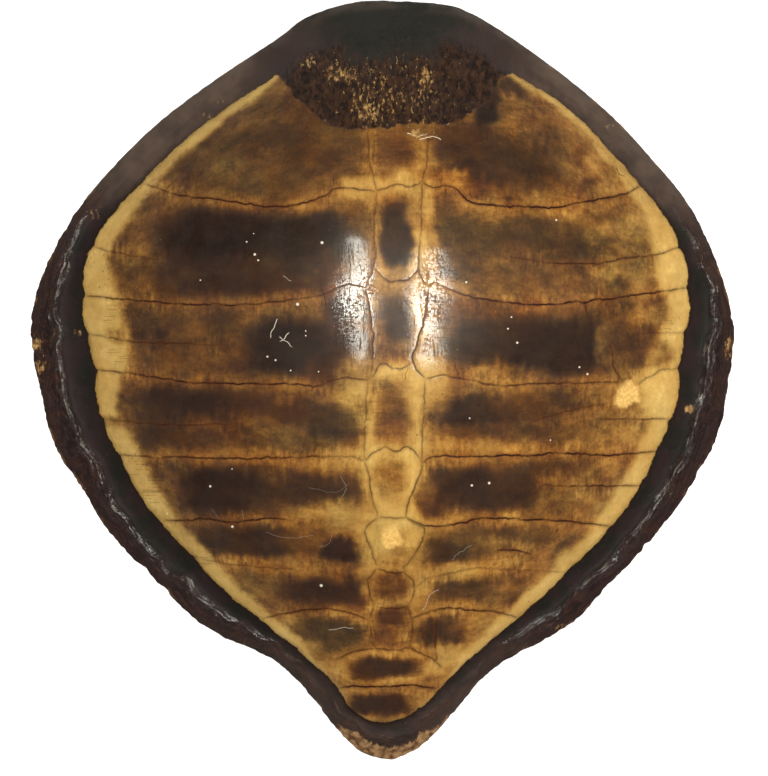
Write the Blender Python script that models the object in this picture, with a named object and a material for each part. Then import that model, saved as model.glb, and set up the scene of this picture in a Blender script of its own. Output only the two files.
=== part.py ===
"""The carapace of a sea turtle: the bony upper shell, cleaned of its horny scutes and varnished.

It grew as one piece. Ribs and backbone are fused into the plates from below, so it is one
solid. Lengths are in millimetres until the mesh is made. The frame has +Z up through the dome,
+Y towards the neck and +X towards the right of someone who looks down on it with the neck
away from them. The origin is under the middle of the shell, level with what it rests on.
"""

import math

import bpy
import numpy as np

LENGTH = 660.0
WIDTH = 612.0
HEIGHT = 150.0

# The plan of the rim, clockwise from the middle of the neck notch.
OUTLINE = [
    (11, 330), (54, 327), (78, 319), (114, 297), (162, 262), (203, 227), (236, 191),
    (264, 157), (284, 119), (298, 82), (306, 38), (302, 5), (294, -40), (272, -86),
    (233, -140), (198, -176), (166, -211), (130, -232), (96, -251), (72, -277),
    (54, -298), (39, -314), (12, -330), (-15, -326), (-31, -313), (-47, -296),
    (-66, -271), (-92, -245), (-130, -228), (-163, -208), (-199, -173), (-234, -137),
    (-256, -103), (-285, -57), (-297, -12), (-306, 36), (-301, 76), (-285, 116),
    (-259, 157), (-229, 192), (-192, 227), (-145, 262), (-92, 297), (-66, 316),
    (-25, 329),
]

# The highest point of the dome, in plan. Rays of the mesh leave from above it.
APEX = (3.0, 62.0)

# Width of the dark rim between the plates and the edge, by direction: (degrees, width).
RIM_WIDTHS = [
    (0, 35), (15, 24), (30, 18), (48, 16), (62, 20), (90, 24), (118, 23), (140, 21),
    (165, 28), (180, 44), (190, 49), (205, 46), (225, 40), (240, 35), (250, 24),
    (260, 28), (270, 33), (280, 30), (290, 27), (302, 36), (325, 38), (338, 45),
    (350, 45),
]

# The rim from the plates outwards: (share of its width, rise above the straight line that
# joins the foot of the plates to the edge). A valley, then a crest, then the outer slope.
RIM_PROFILE = [(0.10, -2.0), (0.36, -3.0), (0.58, 3.0), (0.80, 2.0), (0.95, 1.5)]

# Half-sizes of the egg that the dome's level lines come close to high up, where they no longer
# follow the narrow tail: to the sides, to the front and to the tail.
EGG_SIDE, EGG_FRONT, EGG_TAIL = 262.0, 246.0, 358.0

# The arch to the sides and the front falls by these shares of the square and the fourth power
# of the way out. The slope to the tail has a rounded top this wide, and is mixed in this much.
ARCH_SQUARE, ARCH_FOURTH = 0.84, 0.16
SLOPE_ROUNDING = 0.42
SLOPE_SHARE = 0.7

PLATE_STEP = 3.0  # how far the ends of the plates stand above the rim
PLATE_EDGE_HEIGHT = 27.0  # of the plates' ends above the margin's lower side
FRONT_RISE = 17.0  # how far the margin arches up over the neck
FRONT_ARCH_FROM = 0.45  # sine of the direction in which that arch begins
HIND_RISE = 6.0  # and over each hind leg, beside the tail
HIND_LEGS = (247.0, 292.0)  # directions of the two hind legs, in degrees
HIND_SPREAD = 13.0
EDGE_THICKNESS = 5.0
EDGE_ROUNDING = 1.5
REST_WIDTH = 9.0  # of the flat strip under the margin
UNDER_INSET = 2.0  # of the hollow's outer ring from the ends of the plates
UNDER_CLEARANCE = 3.0  # of the hollow above the margin's lower side
SHELL_THICKNESS = 8.0
RIM_THICKNESS = 11.0

BACKBONE_HALF_WIDTH = 22.0
BACKBONE_DEPTH = 12.0
BACKBONE_END, BACKBONE_FADE = 0.95, 0.25  # shares of the way out to the plates' ends

RAYS = 112
DOME_RINGS = 17
UNDER_RINGS = 16
RING_CROWDING = 1.15  # above 1, rings lie closer together near the apex
CURVE_STEPS = 24  # between two points of the outline, before the rays take their own


def closed_curve(points, count):
    """The points of a closed Catmull-Rom curve, evenly spaced along it."""
    knots = np.array(points, float)
    steps = np.linspace(0, 1, CURVE_STEPS, endpoint=False)[:, None]
    runs = []
    for i in range(len(knots)):
        a, b, c, d = (knots[(i + k) % len(knots)] for k in (-1, 0, 1, 2))
        runs.append(
            0.5 * (2 * b + (c - a) * steps + (2 * a - 5 * b + 4 * c - d) * steps**2
                   + (3 * b - a - 3 * c + d) * steps**3)
        )
    fine = np.concatenate(runs + [runs[0][:1]])
    along = np.concatenate([[0], np.cumsum(np.linalg.norm(np.diff(fine, axis=0), axis=1))])
    wanted = np.linspace(0, along[-1], count, endpoint=False)
    return np.column_stack([np.interp(wanted, along, fine[:, k]) for k in (0, 1)])


def around(table, degrees):
    """A value given at some directions, read in between on a smooth closed curve."""
    angles = np.array([row[0] for row in table], float)
    values = np.array([row[1] for row in table], float)
    angles = np.concatenate([angles - 360, angles, angles + 360])
    values = np.tile(values, 3)
    slopes = np.gradient(values, angles)
    k = np.clip(np.searchsorted(angles, degrees, side="right") - 1, 0, len(angles) - 2)
    span = angles[k + 1] - angles[k]
    t = (degrees - angles[k]) / span
    return (
        values[k] * (2 * t**3 - 3 * t**2 + 1) + values[k + 1] * (3 * t**2 - 2 * t**3)
        + span * (slopes[k] * (t**3 - 2 * t**2 + t) + slopes[k + 1] * (t**3 - t**2))
    )


def margin_height(angle):
    """Lower side of the margin: level at the sides and the tail, arched over neck and legs."""
    facing_front = np.clip((np.sin(angle) - FRONT_ARCH_FROM) / (1 - FRONT_ARCH_FROM), 0, 1)
    height = FRONT_RISE * facing_front**2 * (3 - 2 * facing_front)
    for leg in HIND_LEGS:
        turned = (np.degrees(angle) % 360 - leg) / HIND_SPREAD
        height = height + HIND_RISE * np.exp(-(turned**2))
    return height


def dome_height(share, plates, angle):
    """Height of the dome, from 1 at the apex to 0 at the plates' ends.

    It is an arch to the sides and the front. To the tail it is a long straight slope.
    """
    forward = np.clip(np.sin(angle), 0, 1) / EGG_FRONT
    backward = np.clip(-np.sin(angle), 0, 1) / EGG_TAIL
    egg = 1 / np.sqrt((np.cos(angle) / EGG_SIDE) ** 2 + forward**2 + backward**2)
    share = share * plates / (egg + (plates - egg) * share**4)
    arch = 1 - ARCH_SQUARE * share**2 - ARCH_FOURTH * share**4
    soft = SLOPE_ROUNDING
    slope = 1 - (np.sqrt(share**2 + soft**2) - soft) / (math.sqrt(1 + soft**2) - soft)
    towards_tail = SLOPE_SHARE * np.clip(-np.sin(angle), 0, 1) ** 2
    return arch * (1 - towards_tail) + slope * towards_tail


def ring_of(centre, radius, angle, heights):
    """One ring of corners, a row for each ray."""
    return np.column_stack(
        [centre[0] + radius * np.cos(angle), centre[1] + radius * np.sin(angle), heights]
    )


def carapace_rings():
    """Rings from the apex over the top, round the edge and back below to the middle."""
    centre = np.array(APEX)
    outline = closed_curve(OUTLINE, RAYS)
    outline *= (WIDTH, LENGTH) / np.ptp(outline, axis=0)
    outline -= (outline.max(axis=0) + outline.min(axis=0)) / 2
    outward = outline - centre
    angle = np.arctan2(outward[:, 1], outward[:, 0])
    edge = np.linalg.norm(outward, axis=1)
    rim = around(RIM_WIDTHS, np.degrees(angle) % 360)
    plates = edge - rim
    low = margin_height(angle)
    plates_top = low + PLATE_EDGE_HEIGHT
    rings = []
    for k in range(1, DOME_RINGS + 1):
        share = (k / DOME_RINGS) ** RING_CROWDING
        height = plates_top + (HEIGHT - plates_top) * dome_height(share, plates, angle)
        rings.append(ring_of(centre, share * plates, angle, height))
    foot = plates_top - PLATE_STEP
    edge_top = low + EDGE_THICKNESS
    for share, rise in RIM_PROFILE:
        height = foot + (edge_top - foot) * share + rise
        rings.append(ring_of(centre, plates + share * rim, angle, height))
    rings.append(ring_of(centre, edge, angle, low + EDGE_THICKNESS * 0.5))
    rings.append(ring_of(centre, edge - EDGE_ROUNDING, angle, low))
    rings.append(ring_of(centre, edge - EDGE_ROUNDING - REST_WIDTH, angle, low))
    for k in range(UNDER_RINGS, 0, -1):
        share = (k / UNDER_RINGS) ** RING_CROWDING
        radius = share * (plates - UNDER_INSET)
        height = plates_top + (HEIGHT - plates_top) * dome_height(share, plates, angle)
        thickness = SHELL_THICKNESS + (RIM_THICKNESS - SHELL_THICKNESS) * share**6
        backbone = np.exp(-((radius * np.cos(angle) / BACKBONE_HALF_WIDTH) ** 2))
        fade = np.clip((BACKBONE_END - share) / BACKBONE_FADE, 0, 1)
        height = height - thickness - BACKBONE_DEPTH * backbone * fade
        rings.append(ring_of(centre, radius, angle, np.maximum(height, low + UNDER_CLEARANCE)))
    return rings


def make_carapace():
    rings = carapace_rings()
    top = (APEX[0], APEX[1], HEIGHT)
    bottom = (APEX[0], APEX[1], HEIGHT - SHELL_THICKNESS - BACKBONE_DEPTH)
    corners = np.vstack([[top], *rings, [bottom]]) / 1000
    last = len(corners) - 1
    faces = []
    for j in range(RAYS):
        k = (j + 1) % RAYS
        faces.append((0, 1 + k, 1 + j))
        faces.append((last, last - RAYS + j, last - RAYS + k))
        for r in range(len(rings) - 1):
            a, b = 1 + r * RAYS, 1 + (r + 1) * RAYS
            faces.append((a + j, a + k, b + k, b + j))
    mesh = bpy.data.meshes.new("carapace")
    mesh.from_pydata(corners.tolist(), [], faces)
    mesh.validate()
    mesh.shade_smooth()
    return mesh


def varnished_bone():
    material = bpy.data.materials.new("varnished_bone")
    material.use_nodes = True
    shader = material.node_tree.nodes["Principled BSDF"]
    shader.inputs["Base Color"].default_value = (0.17, 0.09, 0.03, 1)
    shader.inputs["Roughness"].default_value = 0.3
    shader.inputs["Metallic"].default_value = 0
    shader.inputs["Coat Weight"].default_value = 0.6
    return material


def main():
    for obj in list(bpy.data.objects):
        bpy.data.objects.remove(obj, do_unlink=True)
    mesh = make_carapace()
    mesh.materials.append(varnished_bone())
    carapace = bpy.data.objects.new("carapace", mesh)
    bpy.context.scene.collection.objects.link(carapace)


main()
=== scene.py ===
"""The looks of the sea turtle carapace: its fused plates, seams, rim and varnish.

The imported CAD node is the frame. One closed mesh replaces it, cut along the seams so that each
seam is a real groove. Plan positions are in millimetres in the CAD frame: +X to the right, +Y
to the neck, +Z up through the dome.
"""

import math

import bpy
import numpy as np
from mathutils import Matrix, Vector
from mathutils.geometry import delaunay_2d_cdt
from mathutils.kdtree import KDTree


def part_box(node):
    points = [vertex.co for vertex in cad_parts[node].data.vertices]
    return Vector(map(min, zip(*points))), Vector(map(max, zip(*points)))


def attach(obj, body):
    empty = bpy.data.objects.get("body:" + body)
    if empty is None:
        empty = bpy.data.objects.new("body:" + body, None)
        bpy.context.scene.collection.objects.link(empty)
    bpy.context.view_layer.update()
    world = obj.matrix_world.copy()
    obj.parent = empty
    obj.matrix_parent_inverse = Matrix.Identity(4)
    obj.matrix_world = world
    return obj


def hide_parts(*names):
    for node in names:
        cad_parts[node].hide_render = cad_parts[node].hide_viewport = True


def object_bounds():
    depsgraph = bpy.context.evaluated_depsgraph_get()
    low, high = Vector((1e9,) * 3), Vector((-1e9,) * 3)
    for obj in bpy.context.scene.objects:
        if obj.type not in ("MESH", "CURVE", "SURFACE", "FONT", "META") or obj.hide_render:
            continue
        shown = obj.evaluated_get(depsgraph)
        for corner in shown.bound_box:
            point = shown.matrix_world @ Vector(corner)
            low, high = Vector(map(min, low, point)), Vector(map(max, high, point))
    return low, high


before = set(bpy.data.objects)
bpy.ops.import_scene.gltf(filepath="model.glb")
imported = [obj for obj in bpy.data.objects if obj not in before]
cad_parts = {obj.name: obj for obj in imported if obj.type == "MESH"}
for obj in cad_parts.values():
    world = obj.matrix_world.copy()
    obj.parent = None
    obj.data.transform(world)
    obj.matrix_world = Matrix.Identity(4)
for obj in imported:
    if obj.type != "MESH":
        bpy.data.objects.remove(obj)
cad_low, cad_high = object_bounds()

MM = 0.001
TURN = 2 * math.pi
NODE = "carapace"

# --- The shell's form. These values are the CAD model's own. ---

APEX = np.array((3.0, 62.0))
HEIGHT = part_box(NODE)[1].z / MM
EGG_SIDE, EGG_FRONT, EGG_TAIL = 262.0, 246.0, 358.0
ARCH_SQUARE, ARCH_FOURTH = 0.84, 0.16
SLOPE_ROUNDING = 0.42
SLOPE_SHARE = 0.7
PLATE_STEP = 3.0
PLATE_EDGE_HEIGHT = 27.0
FRONT_RISE = 17.0
FRONT_ARCH_FROM = 0.45
HIND_RISE = 6.0
HIND_LEGS = (247.0, 292.0)
HIND_SPREAD = 13.0
EDGE_THICKNESS = 5.0
EDGE_ROUNDING = 1.5
REST_WIDTH = 9.0
UNDER_INSET = 2.0
UNDER_CLEARANCE = 3.0
SHELL_THICKNESS = 8.0
RIM_THICKNESS = 11.0
BACKBONE_HALF_WIDTH = 22.0
BACKBONE_DEPTH = 12.0

# --- What the CAD model leaves out ---

# Ends of the plates, from the front left round by the tail to the front right, then behind the
# neck: (x, y, how far the rounded end between this point and the next one swells outwards).
PLATE_ENDS = [
    (-97, 261, 0.6), (-145, 229, 0.8), (-187, 194, 0.8), (-209, 171, 1.2), (-232, 146, 1),
    (-251, 117, 3.4), (-258, 74, 3.2), (-255, 40, 2.2), (-248, 9, 3.6), (-242, -33, 2.2),
    (-228, -65, 1.2), (-209, -102, 0.8), (-193, -122, 1.6), (-164, -153, 1.2), (-139, -181, 0.8),
    (-103, -210, 0.8), (-75, -233, 0.6), (-41, -264, 1), (-24, -288, 1.5), (4, -297, 0.8),
    (31, -286, 1), (50, -267, 0.8), (74, -243, 1), (96, -224, 0.8), (128, -197, 1.2),
    (165, -161, 1.6), (196, -129, 1.6), (223, -92, 1), (237, -62, 1.4), (248, -35, 4.6),
    (256, 10, 2), (261, 41, 4.4), (263, 80, 4), (257, 115, 1.6), (244, 143, 1), (223, 170, 0.8),
    (198, 198, 0.8), (160, 236, 0.8), (115, 265, 0), (84, 289, 0), (50, 301, 0), (11, 306, 0),
    (-28, 301, 0), (-68, 286, 0),
]
# Where the ribs leave the backbone on the underside, along Y.
RIB_SEATS = (150, 114, 77, 38, 0, -36, -72, -108, -144, -178)
RIB_DEPTH, RIB_HALF_WIDTH, RIB_REACH = 4.4, 9.0, 250.0
RIB_FAN, RIB_SWEEP = 26 / 160, 18.0  # how far the ribs spread, and bend to the tail, at their ends
BACKBONE_X = 8  # the backbone lies a little to the right of the middle
VERTEBRA, JOINT_Y, JOINT_SWELL = 72, 14, 0.12  # its bones: length, where one ends, and how thick
# Where the wrinkled crest lies across the dark rim: (degrees, share of the rim's width).
CREST_PLACES = [
    (0, 0.64), (10, 0.61), (20, 0.45), (40, 0.5), (140, 0.55), (165, 0.68), (175, 0.55),
    (188, 0.57), (196, 0.62), (203, 0.53), (212, 0.6), (225, 0.63), (238, 0.58), (250, 0.44),
    (270, 0.5), (290, 0.42), (299, 0.57), (315, 0.65), (328, 0.58), (342, 0.5), (352, 0.57),
]
# How strong the crest is: (degrees, share).
CREST_STRENGTHS = [
    (0, 1), (12, 0.7), (28, 0.15), (60, 0), (118, 0), (150, 0.2), (165, 0.8), (180, 1), (225, 1),
    (247, 0.8), (258, 0.6), (280, 0.6), (290, 0.7), (302, 1), (340, 1),
]
# Chips out of the outer edge: (x, y, half width, depth), and swellings with a negative depth.
CHIPS = [
    (-206, -163, 5, 1.8), (-188, -181, 5, 2), (-117, -230, 9, 1.6), (274, -79, 4, 1.8),
    (230, -145, 4, 1.6), (123, -233, 5, 2), (-276, -72, 4, -1.2), (-270, -80, 4, 0.8),
    (-303, 30, 7, 1.2), (303, 30, 6, 1), (-56, -283, 5, 1.2), (60, -288, 5, -1),
    (196, -179, 4, 0.6), (-246, -120, 9, -1.2), (155, -216, 6, 1), (-86, -250, 8, -0.9),
    (264, -104, 16, -0.9), (206, -168, 16, -0.8), (98, -250, 10, -0.8),
]
DOME_SWELL = 0.22  # unevenness of the dome
GROOVE_DEPTH, GROOVE_HALF_WIDTH = 0.12, 0.8  # of the seams
NECK_PLATE_RISE, NECK_PLATE_GRAIN = 0.35, 0.16
FRONT_FROM, FRONT_FULL = 0.84, 0.91  # sines of the directions where the rim turns to the neck
PATCH_DEPTH = 0.5  # of the places where the surface is lost
OVERHANG_FALL = 0.45  # how steeply the plates' rounded ends fall past the dome's own edge
VALLEY_DEPTH = 2.2  # of the rim, inside its crest
CREST_HEIGHT = 2.0
RIPPLE_RADIUS = 240  # turns a direction into millimetres along the crest
ROUNDING = 3.0  # width of the rounded outer edge, seen from above
PLATE_ROUNDING = 4.0

# Seams, drawn as grooves: (darkness, golden border, points).
SEAMS = [
    # beside the ribs, from the front to the tail
    (0.85, 0.7, [(-206, 170), (-174, 160), (-138, 155), (-112, 151), (-96, 149), (-75, 151),
      (-50, 158), (-39, 165), (-9, 163)]),
    (0.95, 0.65, [(34, 170), (43, 166), (54, 167), (65, 163), (76, 153), (103, 150), (145, 149),
      (174, 154), (211, 162), (226, 171)]),
    (0.45, 0.1, [(-251, 116), (-231, 110), (-194, 104)]),
    (0.65, 0.1, [(109, 106), (145, 101), (191, 101), (208, 105), (238, 109), (257, 115)]),
    (0.85, 0.4, [(-257, 73), (-225, 70), (-194, 67), (-152, 65), (-116, 65), (-93, 67), (-56, 72),
      (-40, 79)]),
    (0.95, 0.7, [(49, 82), (65, 75), (76, 72), (89, 69), (129, 65), (166, 67), (195, 70), (224, 74),
      (263, 80)]),
    (0.5, 0, [(-254, 40), (-217, 33), (-188, 32), (-141, 30)]),
    (0.3, 0.2, [(222, 40), (245, 41), (261, 41)]),
    (0.85, 0.55, [(-248, 9), (-213, 5), (-167, -2), (-131, -3), (-74, -4), (-56, -6), (-39, 1),
      (-25, 1), (-11, 0)]),
    (0.7, 0.7, [(36, 1), (47, 3), (58, 3), (102, -5), (131, -3), (206, -2)]),
    (0.45, 0.2, [(222, -4), (238, 7), (256, 10)]),
    (0.4, 0, [(-240, -34), (-211, -37), (-174, -39), (-120, -38)]),
    (0.45, 0, [(134, -34), (159, -27), (182, -22), (195, -20)]),
    (0.6, 0.1, [(184, -34), (220, -34), (248, -34)]),
    (0.75, 0.85, [(-228, -65), (-195, -67), (-159, -67), (-130, -68), (-80, -67), (-31, -66),
      (-16, -70)]),
    (0.95, 0.9, [(35, -72), (43, -66), (75, -66), (131, -65), (152, -63), (195, -65), (237, -62)]),
    (0.3, 0, [(-211, -97), (-193, -97), (-170, -99)]),
    (0.7, 0, [(138, -91), (162, -92), (187, -92), (223, -92)]),
    (0.9, 0.5, [(-189, -122), (-167, -122), (-156, -120), (-128, -123), (-103, -120), (-79, -121)]),
    (0.9, 0.8, [(20, -119), (39, -126), (61, -125), (82, -120), (113, -120), (158, -122),
      (197, -127)]),
    (0.35, 0.8, [(-164, -152), (-146, -158), (-110, -162), (-58, -165), (-36, -169)]),
    (0.35, 0.8, [(27, -181), (39, -172), (61, -167), (82, -163), (123, -165), (160, -167)]),
    (0.85, 0, [(99, -147), (116, -148), (129, -151)]),
    (0.7, 0.7, [(-103, -207), (-82, -202), (-49, -198), (-31, -201), (-9, -209)]),
    (0.75, 0.7, [(23, -207), (39, -201), (58, -197), (75, -199), (96, -201), (118, -206)]),
    (0.65, 1, [(-41, -243), (-25, -236), (-7, -233), (14, -235), (24, -233), (42, -241),
      (52, -250)]),
    (1, 0.5, [(-38, -268), (-25, -266), (11, -266), (25, -265), (46, -268)]),
    (0.6, 0, [(197, 30), (201, 11), (208, -1)]),
    (0.65, 0, [(175, 65), (178, 50)]),
    (0.5, 0, [(47, -206), (46, -226), (47, -245)]),
    # round the backbone's plates
    (0.5, 0.3, [(-13, 216), (-11, 190), (-5, 162)]),
    (0.45, 0.3, [(40, 214), (38, 190), (34, 170)]),
    (0.5, 0.1, [(-40, 79), (-31, 82), (-23, 82), (-15, 79)]),
    (0.6, 0.5, [(-9, 162), (11, 167), (25, 167), (34, 170)]),
    (0.45, 0.2, [(-5, 162), (-7, 128), (-6, 104), (-14, 80)]),
    (0.55, 0.2, [(34, 170), (33, 128), (31, 94), (40, 79)]),
    (0.75, 0.6, [(-6, 95), (4, 86), (14, 85), (24, 88), (32, 96)]),
    (0.65, 0.2, [(-15, 79), (-12, 67), (-9, 48), (-8, 30), (-9, 10), (-12, 0)]),
    (0.75, 0.2, [(40, 79), (38, 64), (34, 45), (29, 31), (26, 15), (36, 1)]),
    (0.6, 0.3, [(40, 79), (45, 84), (50, 81)]),
    (0.6, 0.4, [(-11, 0), (0, 14), (9, 10), (18, 10), (25, 15)]),
    (0.45, 0.2, [(-12, 0), (-14, -18), (-15, -46), (-16, -70)]),
    (0.5, 0.2, [(36, 1), (36, -26), (34, -52), (35, -72)]),
    (0.6, 0.4, [(-16, -70), (0, -58), (11, -62), (23, -58), (35, -72)]),
    (0.55, 0.2, [(-16, -70), (-12, -81), (-11, -93), (-4, -118)]),
    (0.6, 0.2, [(35, -72), (31, -86), (22, -106), (20, -119)]),
    (0.45, 0.2, [(-4, -119), (20, -119)]),
    (0.5, 0.1, [(-4, -119), (-15, -129), (-12, -142), (-5, -160)]),
    (0.55, 0.1, [(20, -119), (36, -129), (31, -145), (18, -163)]),
    (0.6, 0.2, [(-5, -163), (7, -167), (18, -166)]),
    (0.55, 0.1, [(-5, -163), (-12, -174), (-11, -185), (-7, -196)]),
    (0.55, 0.1, [(18, -166), (26, -174), (27, -185), (22, -196)]),
    (0.55, 0.2, [(-7, -196), (8, -198), (22, -196)]),
    (0.5, 0.2, [(-7, -196), (-11, -210), (-7, -233)]),
    (0.5, 0.2, [(22, -196), (26, -210), (24, -233)]),
]
# Lower edge of the dark, rough plate behind the neck.
NUCHAL_EDGE = [
    (-98, 264), (-88, 262), (-77, 247), (-61, 233), (-49, 223), (-32, 216), (-11, 217), (7, 218),
    (18, 221), (47, 221), (60, 222), (79, 233), (90, 241), (103, 262), (116, 267),
]

# --- Colours painted on the plan ---

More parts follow.
